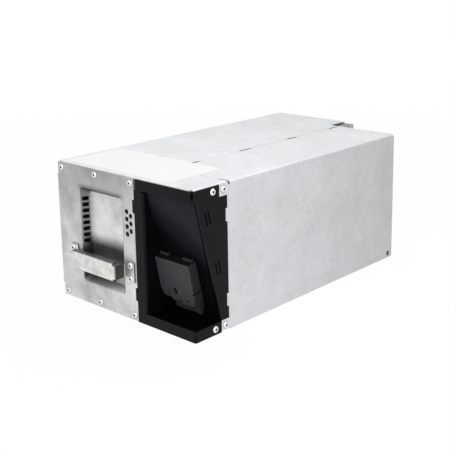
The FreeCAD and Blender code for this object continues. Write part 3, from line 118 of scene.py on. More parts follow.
# ---------------------------------------------------------------------------------------
# Finishes
# ---------------------------------------------------------------------------------------
class Finish:
    """One node material that is built up step by step on a Principled surface."""

    def __init__(self, name, colour, metallic, roughness):
        self.material = bpy.data.materials.new(name)
        self.material.use_nodes = True
        self.tree = self.material.node_tree
        self.surface = self.tree.nodes["Principled BSDF"]
        self.surface.inputs["Base Color"].default_value = (*colour, 1)
        self.surface.inputs["Metallic"].default_value = metallic
        self.surface.inputs["Roughness"].default_value = roughness
        self.colour = colour
        self.place = self.add("ShaderNodeTexCoord").outputs["Object"]

    def add(self, kind, **values):
        """New node, with its inputs set by name."""
        node = self.tree.nodes.new(kind)
        for name, value in values.items():
            node.inputs[name.replace("_", " ")].default_value = value
        return node

    def link(self, source, target):
        self.tree.links.new(source, target)

    def stretched(self, scale):
        """Object position with each axis scaled, for brushed or rolled marks."""
        mapping = self.add("ShaderNodeMapping")
        mapping.inputs["Scale"].default_value = scale
        self.link(self.place, mapping.inputs["Vector"])
        return mapping.outputs["Vector"]

    def noise(self, scale, detail=3.0, roughness=0.55, place=None):
        """Soft random pattern with a number of features per metre."""
        node = self.add("ShaderNodeTexNoise", Scale=scale, Detail=detail, Roughness=roughness)
        self.link(place or self.place, node.inputs["Vector"])
        return node.outputs["Fac"]

    def cells(self, scale, output="Color"):
        """Pattern of crystals or bubbles, with a number of cells per metre."""
        node = self.add("ShaderNodeTexVoronoi", Scale=scale)
        self.link(self.place, node.inputs["Vector"])
        return node.outputs[output]

    def spread(self, source, low, high, start=0.0, end=1.0):
        """Map a pattern from start and end to low and high."""
        node = self.add("ShaderNodeMapRange")
        node.inputs["From Min"].default_value = start
        node.inputs["From Max"].default_value = end
        node.inputs["To Min"].default_value = low
        node.inputs["To Max"].default_value = high
        self.link(source, node.inputs["Value"])
        return node.outputs["Result"]

    def combine(self, operation, *sources):
        """One step of arithmetic on patterns."""
        node = self.add("ShaderNodeMath")
        node.operation = operation
        for socket, source in zip(node.inputs, sources):
            self.link(source, socket)
        return node.outputs["Value"]

    def times(self, *factors):
        """Product of two or more patterns."""
        product = factors[0]
        for factor in factors[1:]:
            product = self.combine("MULTIPLY", product, factor)
        return product

    def plus(self, first, second):
        return self.combine("ADD", first, second)

    def size_of(self, source):
        return self.combine("ABSOLUTE", source)

    def facing(self, axis):
        """How far the surface faces along one of the cartridge's own axes, from -1 to 1."""
        coordinates = self.add("ShaderNodeTexCoord")
        split = self.add("ShaderNodeSeparateXYZ")
        self.link(coordinates.outputs["Normal"], split.inputs["Vector"])
        return split.outputs[axis]

    def position(self, axis):
        """Place along one of the cartridge's own axes, in metres."""
        split = self.add("ShaderNodeSeparateXYZ")
        self.link(self.place, split.inputs["Vector"])
        return split.outputs[axis]

    def profile(self, source, start, end, stops):
        """Follow a curve of (place, value) stops between two measures."""
        ramp = self.add("ShaderNodeValToRGB")
        elements = ramp.color_ramp.elements
        for spare in list(elements)[1:]:
            elements.remove(spare)
        for number, (place, value) in enumerate(stops):
            stop = elements[0] if number == 0 else elements.new(place)
            stop.position = place
            stop.color = (value, value, value, 1)
        self.link(self.spread(source, 0.0, 1.0, start, end), ramp.inputs["Fac"])
        return ramp.outputs["Color"]

    def only_where(self, mask, factor):
        """Use a factor where the mask is 1, and leave 1 where it is 0."""
        mix = self.add("ShaderNodeMix")
        mix.inputs["A"].default_value = 1.0
        self.link(mask, mix.inputs["Factor"])
        self.link(factor, mix.inputs["B"])
        return mix.outputs["Result"]

    def shade(self, factor):
        """Multiply the base colour by a pattern."""
        node = self.add("ShaderNodeVectorMath")
        node.operation = "SCALE"
        node.inputs[0].default_value = self.colour
        self.link(factor, node.inputs["Scale"])
        self.link(node.outputs["Vector"], self.surface.inputs["Base Color"])

    def rough(self, factor):
        """Let a pattern set the roughness."""
        self.link(factor, self.surface.inputs["Roughness"])

    def relief(self, height, distance):
        """Raise a pattern by up to a distance in metres."""
        bump = self.add("ShaderNodeBump", Strength=1.0, Distance=distance)
        self.link(height, bump.inputs["Height"])
        self.link(bump.outputs["Normal"], self.surface.inputs["Normal"])

    def wear(self, *pieces):
        """Lay the finish on pieces of the cartridge."""
        for name in pieces:
            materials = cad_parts[name].data.materials
            materials.clear()
            materials.append(self.material)


def zinc_finish(name, settings, low=0.93, high=1.05):
    """Hot-dip galvanised sheet: soft clouds, fine crystals and faint rolling marks.

    Returns the finish and its pattern, which the caller may add to before it is laid on."""
    finish = Finish(name, settings.colour, settings.metallic, settings.roughness)
    clouds = finish.spread(finish.noise(settings.cloud_scale, 5.0, 0.62), low, high, *NOISE_RANGE)
    crystal = finish.spread(finish.cells(settings.crystal_scale), 0.955, 1.045)
    fine = finish.spread(finish.noise(420.0, 4.0, 0.7), 0.94, 1.06, 0.25, 0.75)
    rolled = finish.noise(60.0, 2.0, 0.5, finish.stretched((1.0, 1.0, 0.12)))
    streak = finish.spread(rolled, 0.985, 1.015, *NOISE_RANGE)
    pattern = finish.times(clouds, crystal, fine, streak)
    finish.rough(finish.spread(finish.noise(90.0, 3.0), settings.roughness - 0.06,
                               settings.roughness + 0.08, *NOISE_RANGE))
    finish.relief(finish.noise(380.0, 4.0, 0.6), 0.00004)
    return finish, pattern


def plain_finish(name, colour, metallic, roughness, grain, shades, bumps=None):
    """A finish with one mottled pattern (grains per metre, darkest and lightest shade) and,
    if given, fine bumps (bumps per metre, height in metres)."""
    finish = Finish(name, colour, metallic, roughness)
    finish.shade(finish.spread(finish.noise(grain), *shades, *NOISE_RANGE))
    if bumps:
        finish.relief(finish.noise(bumps[0], 2.0), bumps[1])
    return finish


def rounded_outline(width, length, radius, steps=8):
    """Corner points of a rectangle with round corners, centred on the origin."""
    points = []
    for sx, sy, start in ((1, 1, 0), (-1, 1, 90), (-1, -1, 180), (1, -1, 270)):
        for k in range(steps + 1):
            angle = math.radians(start + 90 * k / steps)
            points.append((sx * (width / 2 - radius) + radius * math.cos(angle),
                           sy * (length / 2 - radius) + radius * math.sin(angle)))
    return points


def piece_from(mesh_data, name):
    """Turn a bmesh into a piece that belongs to the cartridge."""
    mesh = bpy.data.meshes.new(name)
    mesh_data.to_mesh(mesh)
    mesh_data.free()
    obj = bpy.data.objects.new(name, mesh)
    bpy.context.scene.collection.objects.link(obj)
    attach(obj, "root")
    return obj


# ---------------------------------------------------------------------------------------
# Settings
# ---------------------------------------------------------------------------------------
class ZincSettings(bpy.types.PropertyGroup):
    """Galvanised sheet"""
    colour: FloatVectorProperty(name="Colour", description="Base colour of the zinc",
                                subtype="COLOR", default=(0.69, 0.70, 0.718), min=0, max=1)
    metallic: FloatProperty(name="Metal", description="How metallic the zinc is",
                            subtype="FACTOR", default=0.35, min=0, max=1)
    roughness: FloatProperty(name="Roughness", description="Average roughness of the zinc",
                             subtype="FACTOR", default=0.48, min=0, max=1)
    cloud_scale: FloatProperty(name="Cloud scale", description="Clouds per metre",
                               default=26.0, min=1)
    crystal_scale: FloatProperty(name="Crystal scale", description="Crystals per metre",
                                 default=260.0, min=1)


class PlateSettings(bpy.types.PropertyGroup):
    """Front plate and handle"""
    colour: FloatVectorProperty(name="Colour", description="Base colour of the front plate",
                                subtype="COLOR", default=(0.60, 0.605, 0.605), min=0, max=1)
    metallic: FloatProperty(name="Metal", description="How metallic the plate is",
                            subtype="FACTOR", default=0.5, min=0, max=1)
    roughness: FloatProperty(name="Roughness", description="Average roughness of the plate",
                             subtype="FACTOR", default=0.38, min=0, max=1)
    cloud_scale: FloatProperty(name="Cloud scale", description="Clouds per metre",
                               default=34.0, min=1)
    crystal_scale: FloatProperty(name="Crystal scale", description="Crystals per metre",
                                 default=300.0, min=1)
    low: FloatProperty(name="Darkest cloud", description="Brightness of the darkest clouds",
                       default=0.7, min=0, max=1)
    high: FloatProperty(name="Lightest cloud", description="Brightness of the lightest clouds",
                        default=1.22, min=1, max=2)
    handle_colour: FloatVectorProperty(name="Handle colour",
                                       description="Base colour of the handle",
                                       subtype="COLOR", default=(0.74, 0.74, 0.72), min=0, max=1)


class CoatSettings(bpy.types.PropertyGroup):
    """Black coat and moulded plastic"""
    coat_colour: FloatVectorProperty(name="Coat colour", description="Powder coat of the bay",
                                     subtype="COLOR", default=(0.0035, 0.003, 0.0045),
                                     min=0, max=1)
    coat_roughness: FloatProperty(name="Coat roughness", description="Gloss of the powder coat",
                                  subtype="FACTOR", default=0.2, min=0, max=1)
    coat_sheen: FloatProperty(name="Coat sheen", description="Strength of the coat's reflection",
                              subtype="FACTOR", default=0.11, min=0, max=1)
    panel_colour: FloatVectorProperty(name="Panel colour", description="Coat of the bay's panel",
                                      subtype="COLOR", default=(0.026, 0.022, 0.031),
                                      min=0, max=1)
    plastic_colour: FloatVectorProperty(name="Plastic colour",
                                        description="Moulding of the connector",
                                        subtype="COLOR", default=(0.046, 0.043, 0.049),
                                        min=0, max=1)
    plastic_roughness: FloatProperty(name="Plastic roughness",
                                     description="Gloss of the connector's moulding",
                                     subtype="FACTOR", default=0.5, min=0, max=1)


class LabelSettings(bpy.types.PropertyGroup):
    """Blank label across the top seam"""
    start: FloatVectorProperty(name="Start",
                               description="Left front corner, from the corner of the top",
                               subtype="TRANSLATION", unit="LENGTH", size=2,
                               default=(0.007, 0.006))
    width: FloatProperty(name="Width", description="Size across the cartridge",
                         subtype="DISTANCE", default=0.126, min=0.01)
    length: FloatProperty(name="Length", description="Size along the cartridge",
                          subtype="DISTANCE", default=0.060, min=0.01)
    radius: FloatProperty(name="Corner radius", description="Round corners of the label",
                          subtype="DISTANCE", default=0.0025, min=0)
    thickness: FloatProperty(name="Thickness", description="Film thickness",
                             subtype="DISTANCE", default=0.00012, min=0.00005)
    colour: FloatVectorProperty(name="Colour", description="Colour of the film",
                                subtype="COLOR", default=(0.88, 0.88, 0.88), min=0, max=1)


class StudioSettings(bpy.types.PropertyGroup):
    """Camera, lamps and floor"""
    eye: FloatVectorProperty(name="Eye", description="Camera position", subtype="TRANSLATION",
                             unit="LENGTH", default=(0.5463, -0.6003, 0.2949))
    turn: FloatProperty(name="Turn", description="Heading of the camera",
                        subtype="ANGLE", default=0.7529)
    tilt: FloatProperty(name="Tilt", description="How far the camera looks down",
                        subtype="ANGLE", default=0.2260)
    roll: FloatProperty(name="Roll", description="Roll about the line of sight",
                        subtype="ANGLE", default=-0.0173)
    lens: FloatProperty(name="Lens", description="Focal length in millimetres",
                        default=71.75, min=10)
    drop: FloatProperty(name="Drop", description="Downward shift of the view, in image widths",
                        default=0.149, min=0, max=0.6)
    world: FloatProperty(name="World", description="Strength of the surrounding light",
                         default=0.38, min=0)
    key: FloatProperty(name="Key", description="Power of the overhead panel in watts",
                       default=9.5, min=0)
    fill: FloatProperty(name="Fill", description="Power of the front panel in watts",
                        default=8.2, min=0)


# ---------------------------------------------------------------------------------------
# Operators
# ---------------------------------------------------------------------------------------
class CARTRIDGE_OT_covers(bpy.types.Operator):
    """Give the folded covers, the tray and the divider their galvanised finish, with painted
    shade towards the rear and in the seam's slots
    """
    bl_idname = "cartridge.covers"
    bl_label = "Covers"

    def execute(self, context):
        zinc, pattern = zinc_finish("galvanised_cover", context.scene.cartridge_zinc)
        # painted light and shade: the sides darken towards the rear, and the top is lighter at
        # the front and a little darker at the rear, as the lamps' light falls off
        low, high = CAD_BOX
        sides = zinc.spread(zinc.size_of(zinc.facing("X")), 0.15, 1.0, 0.3, 0.8)
        painted_side_falloff = zinc.spread(zinc.position("Y"), 1.0, 0.74, low[1] + SIDE_SHADE_START, high[1])
        crown = zinc.spread(zinc.facing("Z"), 0.0, 1.0, 0.6, 0.9)
        painted_top_falloff = zinc.spread(zinc.position("Y"), 1.07, 0.98, low[1] + TOP_SHADE_START, high[1])
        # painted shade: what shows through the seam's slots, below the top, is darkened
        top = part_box("main_cover")[1][2]
        depth = zinc.spread(zinc.position("Z"), 0.05, 1.0, *(top - d for d in SEAM_DEPTH))
        tone = zinc.times(zinc.only_where(sides, painted_side_falloff),
                          zinc.only_where(crown, zinc.times(painted_top_falloff, depth)))
        zinc.shade(zinc.times(pattern, tone))
        zinc.wear(*ZINC_PIECES)
        return {"FINISHED"}


class CARTRIDGE_OT_front_plate(bpy.types.Operator):
    """Give the drawn front plate its finish, with painted light and shade across the sheet and in
    the dish
    """
    bl_idname = "cartridge.front_plate"
    bl_label = "Front plate"

    def execute(self, context):
        settings = context.scene.cartridge_plate
        plate, pattern = zinc_finish("galvanised_plate", settings, settings.low, settings.high)
        low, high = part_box("front_plate")
        across, back, height = (plate.position(axis) for axis in "XYZ")
        rightward, upward = plate.facing("X"), plate.facing("Z")

        def beyond(start, reach):
            return [start + measure for measure in reach]

        # painted light and shade, standing in for reflections: the sheet is darker along its top
        # edge and brighter low on the right
        rising = plate.spread(height, 2.4, 1.44, low[2] + SHEET_SHADE_START, high[2])
        sideways = plate.profile(across, low[0], high[0],
                                 ((0.0, 0.48), (0.18, 0.48), (0.5, 0.42), (0.75, 0.47),
                                  (1.0, 0.54)))
        # painted light and shadow: the dish floor is brighter, and shadowed behind and below the
        # grip
        deep = plate.spread(back, 0.0, 1.0, *beyond(low[1], DISH_WALL))
        painted_grip_shadow = plate.profile(height, *beyond(low[2], GRIP_SHADOW_HEIGHT),
                              ((0.0, 0.5), (0.3, 0.26), (0.5, 0.08), (0.66, 0.1), (0.76, 0.5),
                               (0.88, 1.0), (1.0, 1.0)))
        painted_floor_light = plate.spread(back, 1.0, 1.56, *beyond(low[1], DISH_FLOOR))
        # painted shade on the dish's walls: dark under the upper edge and down the left
        under = plate.spread(upward, 0.22, 1.0, -0.75, -0.1)
        left = plate.spread(rightward, 1.0, 0.36, 0.3, 0.8)
        # painted shade at the foot of the left wall, and to the left along the lower one
        on_left = plate.spread(rightward, 0.0, 1.0, 0.3, 0.8)
        foot = plate.spread(height, 0.08, 1.0, *beyond(low[2], FOOT_SHADE))
        on_lower = plate.spread(upward, 0.0, 1.0, 0.1, 0.7)
        along = plate.spread(across, 0.4, 0.95, *beyond(low[0], LOWER_WALL_SHADE))
        # the sheet above the dish is darker
        over = plate.profile(across, *beyond(low[0], ABOVE_DISH_WIDTH),
                             ((0.0, 0.0), (0.08, 1.0), (0.85, 0.8), (0.97, 0.3), (1.0, 0.0)))
        darker_above_dish = plate.profile(height, *beyond(low[2], ABOVE_DISH_HEIGHT),
                               ((0.0, 1.0), (0.35, 0.62), (0.5, 0.5), (0.68, 0.56), (0.82, 0.94),
                                (1.0, 1.0)))
        plate.shade(plate.times(pattern, rising, sideways, painted_floor_light, under, left,
                                plate.only_where(deep, painted_grip_shadow), plate.only_where(on_left, foot),
                                plate.only_where(on_lower, along),
                                plate.only_where(over, darker_above_dish)))
        plate.wear("front_plate")
        return {"FINISHED"}


class CARTRIDGE_OT_handle(bpy.types.Operator):
    """Give the folded handle its brushed finish, with painted shade on its flanges and legs"""
    bl_idname = "cartridge.handle"
    bl_label = "Handle"

    def execute(self, context):
        settings = context.scene.cartridge_plate
        steel = Finish("handle_steel", settings.handle_colour, 0.85, 0.34)
        smears = steel.spread(steel.noise(120.0, 4.0, 0.6), 0.84, 1.22, 0.35, 0.68)
        brushed = steel.noise(900.0, 2.0, 0.5, steel.stretched((0.05, 1.0, 1.0)))
        lines = steel.spread(brushed, 0.95, 1.04, *NOISE_RANGE)
        # painted shade: the grip's face keeps its bright plating, while its flanges and legs are
        # darkened, standing in for the dark things they reflect
        legs = steel.spread(steel.size_of(steel.facing("X")), 1.0, 0.09, 0.35, 0.85)
        flanges = steel.spread(steel.size_of(steel.facing("Z")), 1.0, 0.2, 0.35, 0.85)
        steel.shade(steel.times(legs, flanges, smears, lines))
        steel.rough(steel.spread(steel.noise(150.0, 3.0), 0.28, 0.46, *NOISE_RANGE))
        steel.relief(brushed, 0.00003)
        steel.wear("handle")
        return {"FINISHED"}


class CARTRIDGE_OT_bay(bpy.types.Operator):
    """Give the bay's frame and panel their black powder coat, with a painted sheen on the panel
    """
    bl_idname = "cartridge.bay"
    bl_label = "Connector bay"

    def execute(self, context):
        settings = context.scene.cartridge_coat
        coat = Finish("black_powder_coat", settings.coat_colour, 0.0, settings.coat_roughness)
        coat.surface.inputs["Specular IOR Level"].default_value = settings.coat_sheen
        coat.shade(coat.spread(coat.noise(70.0, 4.0, 0.6), 0.85, 1.2, *NOISE_RANGE))
        coat.rough(coat.spread(coat.noise(240.0, 3.0), settings.coat_roughness - 0.05,
                               settings.coat_roughness + 0.07, *NOISE_RANGE))
        coat.relief(coat.noise(1100.0, 2.0, 0.5), 0.000012)
        coat.wear("bay_frame")
        # the panel is matt, with a painted sheen: its colour is lighter near its top right and
        # goes black towards its foot, standing in for the light it reflects
        panel = Finish("matt_black_coat", settings.panel_colour, 0.0, 0.55)
        panel.surface.inputs["Specular IOR Level"].default_value = 0.03
        low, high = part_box("connector_panel")
        height = panel.spread(panel.position("Z"), 0.0, 1.0, low[2], high[2])
        across = panel.spread(panel.position("X"), 0.0, 0.3, low[0], high[0])
        painted_sheen = panel.profile(panel.plus(height, across), 0.0, 1.3,
                            ((0.0, 0.08), (0.56, 0.1), (0.66, 0.45), (0.75, 0.9), (0.85, 1.0),
                             (1.0, 0.9)))
        cloud = panel.spread(panel.noise(60.0, 4.0, 0.6), 0.85, 1.15, *NOISE_RANGE)
        panel.shade(panel.times(cloud, painted_sheen))
        panel.relief(panel.noise(1100.0, 2.0, 0.5), 0.000012)
        panel.wear("connector_panel")
        return {"FINISHED"}


class CARTRIDGE_OT_connector(bpy.types.Operator):
    """Give the moulded connector its finish, with painted shade on its top and its +X faces"""
    bl_idname = "cartridge.connector"
    bl_label = "Connector"

    def execute(self, context):
        settings = context.scene.cartridge_coat
        plastic = Finish("connector_moulding", settings.plastic_colour, 0.0,
                         settings.plastic_roughness)
        plastic.surface.inputs["Specular IOR Level"].default_value = 0.2
        mottle = plastic.spread(plastic.noise(160.0, 4.0, 0.6), 0.82, 1.2, *NOISE_RANGE)
        # painted shade: faces turned up are darkened strongly, and faces turned to +X less
        upward = plastic.spread(plastic.facing("Z"), 1.0, 0.1, 0.35, 0.75)
        flank = plastic.spread(plastic.facing("X"), 1.0, 0.5, 0.4, 0.9)
        plastic.shade(plastic.times(mottle, upward, flank))
        plastic.rough(plastic.spread(plastic.noise(500.0, 2.0), settings.plastic_roughness - 0.06,
                                     settings.plastic_roughness + 0.08, *NOISE_RANGE))
        plastic.relief(plastic.noise(2600.0, 2.0, 0.5), 0.00004)
        plastic.wear("connector_housing")
        return {"FINISHED"}


def rivet(data, place, out):
    """One blind rivet turned round the way its head faces; slots: bright head, core coloured as
    painted shade in the hole, ring of painted contact shadow.
    """
    profile = RIVET_STUB + RIVET_HEAD + RIVET_SHADOW_RING + RIVET_SHANK
    side = Vector((0, 0, 1)).cross(out)
    rings = []
    for radius, rise in profile:
        centre = place + out * rise * MILLIMETRE
        if radius == 0:
            rings.append([data.verts.new(centre)])
            continue
        turns = [2 * math.pi * k / RIVET_SIDES for k in range(RIVET_SIDES)]
        rings.append([data.verts.new(centre + (side * math.cos(a) + Vector((0, 0, math.sin(a))))
                                     * radius * MILLIMETRE) for a in turns])
    core_end = len(RIVET_STUB) + 1
    shadow_ring_start = len(RIVET_STUB) + len(RIVET_HEAD) - 1
    for row, (near, far) in enumerate(zip(rings, rings[1:])):
        slot = 1 if row < core_end else 2 if row in (shadow_ring_start, shadow_ring_start + 1) else 0
        for k in range(RIVET_SIDES):
            after = (k + 1) % RIVET_SIDES
            corners = [near[k % len(near)], near[after % len(near)], far[after % len(far)],
                       far[k % len(far)]]
            face = data.faces.new(list(dict.fromkeys(corners)))
            face.material_index = slot
            face.smooth = True


class CARTRIDGE_OT_rivets(bpy.types.Operator):
    """Turn the blind rivets, with bright heads, the stubs and holes in their cores coloured
    near-black as painted shade, and a thin ring of painted contact shadow round each head
    """
    bl_idname = "cartridge.rivets"
    bl_label = "Rivets"

    def execute(self, context):
        # the second finish is painted shade in the rivet holes, the third a painted contact
        # shadow round each head
        finishes = (
            plain_finish("rivet_aluminium", (0.88, 0.88, 0.87), 0.45, 0.3, 900.0, (0.9, 1.05),
                         (1400.0, 0.00002)),
            plain_finish("rivet_core_shade", (0.035, 0.035, 0.037), 0.3, 0.6, 1500.0, (0.6, 1.6)),
            plain_finish("rivet_contact_shadow", (0.09, 0.09, 0.095), 0.2, 0.6, 1200.0, (0.5, 1.5)))
        for name in RIVET_PIECES:
            low, high = [Vector(corner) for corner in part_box(name)]
            levels = (low.z + RIVET_RADIUS, high.z - RIVET_RADIUS)
            if name == "side_rivets":
                out = Vector((1, 0, 0))
                face = high.x - RIVET_DOME
                rows = (low.y + RIVET_RADIUS, high.y - RIVET_RADIUS)
                spots = [Vector((face, y, z)) for y in rows for z in levels]
            else:
                out = Vector((0, -1, 0))
                face = low.y + RIVET_DOME
                columns = [low.x + RIVET_RADIUS, high.x - RIVET_RADIUS]
                if name == "front_rivets":
                    columns.insert(1, sum(columns) / 2)
                spots = [Vector((x, face, z)) for x in columns for z in levels]
            data = bmesh.new()
            for spot in spots:
                rivet(data, spot, out)
            bmesh.ops.recalc_face_normals(data, faces=data.faces)
            heads = piece_from(data, name.replace("rivets", "blind_rivets"))
            for finish in finishes:
                heads.data.materials.append(finish.material)
            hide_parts(name)
        return {"FINISHED"}


class CARTRIDGE_OT_label(bpy.types.Operator):
    """Lay the blank label over the top seam"""
    bl_idname = "cartridge.label"
    bl_label = "Label"

    def execute(self, context):
        settings = context.scene.cartridge_label
        low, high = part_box("main_cover")
        data = bmesh.new()
        outline = rounded_outline(settings.width, settings.length, settings.radius)
        middle = Vector((low[0] + settings.start[0] + settings.width / 2,
                         low[1] + settings.start[1] + settings.length / 2, high[2]))
        bottom = [data.verts.new(middle + Vector((x, y, LABEL_LIFT))) for x, y in outline]
        top = [data.verts.new(middle + Vector((x, y, settings.thickness))) for x, y in outline]
        data.faces.new(top)
        data.faces.new(bottom[::-1])
        for k in range(len(top)):
            after = (k + 1) % len(top)
            data.faces.new((bottom[k], bottom[after], top[after], top[k]))
        label = piece_from(data, "top_label")
        film = Finish("label_film", settings.colour, 0.0, 0.4)
        film.shade(film.spread(film.noise(45.0, 3.0), 0.985, 1.015, *NOISE_RANGE))
        film.relief(film.noise(240.0, 3.0), 0.00003)
        label.data.materials.append(film.material)
        return {"FINISHED"}


class CARTRIDGE_OT_blocks(bpy.types.Operator):
    """Give the sealed battery blocks and their foam their finishes"""
    bl_idname = "cartridge.blocks"
    bl_label = "Battery blocks"

    def execute(self, context):
        plain_finish("block_case", (0.045, 0.047, 0.05), 0.0, 0.55, 80.0, (0.85, 1.15),
                     (1600.0, 0.00004)).wear(*BLOCK_PIECES)
        foam = Finish("closed_cell_foam", (0.03, 0.03, 0.032), 0.0, 0.9)
        bubbles = foam.cells(700.0, "Distance")
        foam.shade(foam.spread(bubbles, 0.7, 1.2))
        foam.relief(bubbles, 0.0003)
        foam.wear("foam_strips", "front_foam")
        return {"FINISHED"}


class CARTRIDGE_OT_wiring(bpy.types.Operator):
    """Give the leads, the fuse, the terminals and the connector's contacts their finishes"""
    bl_idname = "cartridge.wiring"
    bl_label = "Wiring"

    def execute(self, context):
        plain_finish("tinned_copper", (0.72, 0.71, 0.68), 1.0, 0.3, 300.0, (0.9, 1.05),
                     (900.0, 0.00002)).wear(*TINNED_PIECES)
        plain_finish("zinc_screw", (0.7, 0.71, 0.73), 1.0, 0.28, 500.0,
                     (0.88, 1.05)).wear("terminal_screws")
        for name, colour, pieces in (
                ("red_insulation", (0.35, 0.012, 0.012), ("lead_positive", "lead_fused")),
                ("black_insulation", (0.015, 0.015, 0.015), ("lead_negative",))):
            plain_finish(name, colour, 0.0, 0.45, 200.0, (0.88, 1.1),
                         (900.0, 0.00003)).wear(*pieces)
        plain_finish("grommet_rubber", (0.02, 0.02, 0.02), 0.0, 0.7, 400.0,
                     (0.8, 1.2)).wear("lead_grommets")
        plain_finish("holder_moulding", (0.06, 0.06, 0.06), 0.0, 0.5, 300.0,
                     (0.85, 1.15)).wear("fuse_holder")
        plain_finish("fuse_tube", (0.7, 0.68, 0.6), 0.0, 0.25, 200.0, (0.93, 1.04)).wear("fuse")
        return {"FINISHED"}


def softbox(name, place, aim, size, power):
    """Large square lamp that looks at a point."""
    data = bpy.data.lights.new(name, "AREA")
    data.shape = "RECTANGLE"
    data.size = data.size_y = size
    data.energy = power
    lamp = bpy.data.objects.new(name, data)
    lamp.location = place
    lamp.rotation_euler = (Vector(aim) - Vector(place)).to_track_quat("-Z", "Y").to_euler()
    bpy.context.scene.collection.objects.link(lamp)


def emptied(owner):
    """Nodes and links of a material or a world, with nothing in them yet."""
    owner.use_nodes = True
    owner.node_tree.nodes.clear()
    return owner.node_tree.nodes, owner.node_tree.links


def seen(nodes, links):
    """1 for what the camera sees directly or in a glossy surface, 0 for light on the object."""
    rays = nodes.new("ShaderNodeLightPath")
    either = nodes.new("ShaderNodeMath")
    either.operation = "MAXIMUM"
    links.new(rays.outputs["Is Camera Ray"], either.inputs[0])
    links.new(rays.outputs["Is Glossy Ray"], either.inputs[1])
    return either.outputs["Value"]


def floor_cover():
    """Pale floor: it keeps the shadow near the cartridge and fades into white further out."""
    cover = bpy.data.materials.new("studio_floor")
    nodes, links = emptied(cover)
    matt = nodes.new("ShaderNodeBsdfDiffuse")
    matt.inputs["Color"].default_value = (0.93, 0.93, 0.93, 1)
    glow = nodes.new("ShaderNodeEmission")
    glow.inputs["Strength"].default_value = 1.0
    place = nodes.new("ShaderNodeTexCoord")
    away = nodes.new("ShaderNodeVectorMath")
    away.operation = "LENGTH"
    links.new(place.outputs["Object"], away.inputs[0])
    fade = nodes.new("ShaderNodeMapRange")
    fade.inputs["From Min"].default_value, fade.inputs["From Max"].default_value = FLOOR_FADE
    fade.inputs["To Min"].default_value, fade.inputs["To Max"].default_value = FLOOR_SHARE
    links.new(away.outputs["Value"], fade.inputs["Value"])
    share = nodes.new("ShaderNodeMath")
    share.operation = "MULTIPLY"
    links.new(seen(nodes, links), share.inputs[0])
    links.new(fade.outputs["Result"], share.inputs[1])
    mix = nodes.new("ShaderNodeMixShader")
    links.new(share.outputs["Value"], mix.inputs["Fac"])
    links.new(matt.outputs["BSDF"], mix.inputs[1])
    links.new(glow.outputs["Emission"], mix.inputs[2])
    out = nodes.new("ShaderNodeOutputMaterial")
    links.new(mix.outputs["Shader"], out.inputs["Surface"])
    return cover


def surroundings(light):
    """White behind the cartridge, and a plain light of the given strength on it."""
    world = bpy.data.worlds.new("studio_world")
    nodes, links = emptied(world)
    strength = nodes.new("ShaderNodeMapRange")
    strength.inputs["To Min"].default_value = light
    strength.inputs["To Max"].default_value = 1.0
    links.new(seen(nodes, links), strength.inputs["Value"])
    back = nodes.new("ShaderNodeBackground")
    back.inputs["Color"].default_value = (1, 1, 1, 1)
    links.new(strength.outputs["Result"], back.inputs["Strength"])
    out = nodes.new("ShaderNodeOutputWorld")
    links.new(back.outputs["Background"], out.inputs["Surface"])
    return world


def studio_camera(settings):
    """Camera placed by its heading, tilt and roll, with a lowered view."""
    data = bpy.data.cameras.new("studio_camera")
    data.lens = settings.lens
    data.sensor_width = 36.0
    data.shift_y = -settings.drop
    data.clip_start = 0.01
    camera = bpy.data.objects.new("studio_camera", data)
    turn, tilt, roll = settings.turn, settings.tilt, settings.roll
    right = Vector((math.cos(turn), math.sin(turn), 0))
    back = Vector((math.sin(turn) * math.cos(tilt), -math.cos(turn) * math.cos(tilt),
                   math.sin(tilt)))
    up = back.cross(right)
    side = right * math.cos(roll) + up * math.sin(roll)
    rise = up * math.cos(roll) - right * math.sin(roll)
    turned = Matrix((side, rise, back)).transposed().to_4x4()
    camera.matrix_world = Matrix.Translation(settings.eye) @ turned
    return camera


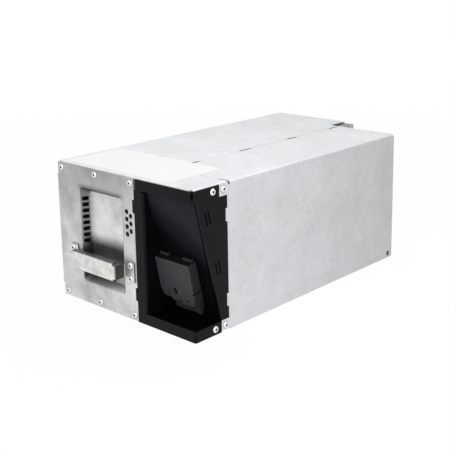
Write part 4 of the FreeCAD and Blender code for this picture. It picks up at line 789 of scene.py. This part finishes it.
class CARTRIDGE_OT_stage(bpy.types.Operator):
    """Set up the floor, the lamps, the surrounding light and the camera"""
    bl_idname = "cartridge.stage"
    bl_label = "Stage"

    def execute(self, context):
        settings = context.scene.cartridge_studio
        scene = context.scene
        scene.view_settings.view_transform = "Standard"
        low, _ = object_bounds()

        data = bmesh.new()
        bmesh.ops.create_grid(data, x_segments=1, y_segments=1, size=FLOOR_HALF)
        mesh = bpy.data.meshes.new("studio_floor")
        data.to_mesh(mesh)
        data.free()
        floor = bpy.data.objects.new("studio_floor", mesh)
        floor.location.z = low[2] - FLOOR_GAP
        scene.collection.objects.link(floor)
        floor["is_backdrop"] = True
        floor.data.materials.append(floor_cover())

        scene.world = surroundings(settings.world)
        softbox("overhead_panel", **OVERHEAD, power=settings.key)
        softbox("front_panel", **FRONTAL, power=settings.fill)

        camera = studio_camera(settings)
        scene.collection.objects.link(camera)
        scene.camera = camera
        return {"FINISHED"}


STEPS = (CARTRIDGE_OT_covers, CARTRIDGE_OT_front_plate, CARTRIDGE_OT_handle, CARTRIDGE_OT_bay,
         CARTRIDGE_OT_connector, CARTRIDGE_OT_rivets, CARTRIDGE_OT_label, CARTRIDGE_OT_blocks,
         CARTRIDGE_OT_wiring, CARTRIDGE_OT_stage)


class CARTRIDGE_PT_panel(bpy.types.Panel):
    """Steps of the cartridge's finish"""
    bl_label = "Cartridge"
    bl_idname = "CARTRIDGE_PT_panel"
    bl_space_type = "VIEW_3D"
    bl_region_type = "UI"
    bl_category = "Cartridge"

    def draw(self, context):
        for step in STEPS:
            self.layout.operator(step.bl_idname)


SETTINGS = {"cartridge_zinc": ZincSettings, "cartridge_plate": PlateSettings,
            "cartridge_coat": CoatSettings, "cartridge_label": LabelSettings,
            "cartridge_studio": StudioSettings}


def register():
    for group in SETTINGS.values():
        bpy.utils.register_class(group)
    for name, group in SETTINGS.items():
        setattr(bpy.types.Scene, name, PointerProperty(type=group))
    for step in STEPS:
        bpy.utils.register_class(step)
    bpy.utils.register_class(CARTRIDGE_PT_panel)


def unregister():
    bpy.utils.unregister_class(CARTRIDGE_PT_panel)
    for step in reversed(STEPS):
        bpy.utils.unregister_class(step)
    for name in SETTINGS:
        delattr(bpy.types.Scene, name)
    for group in SETTINGS.values():
        bpy.utils.unregister_class(group)


def main():
    register()
    for step in STEPS:
        family, name = step.bl_idname.split(".")
        getattr(getattr(bpy.ops, family), name)()


if __name__ == "__main__":
    main()
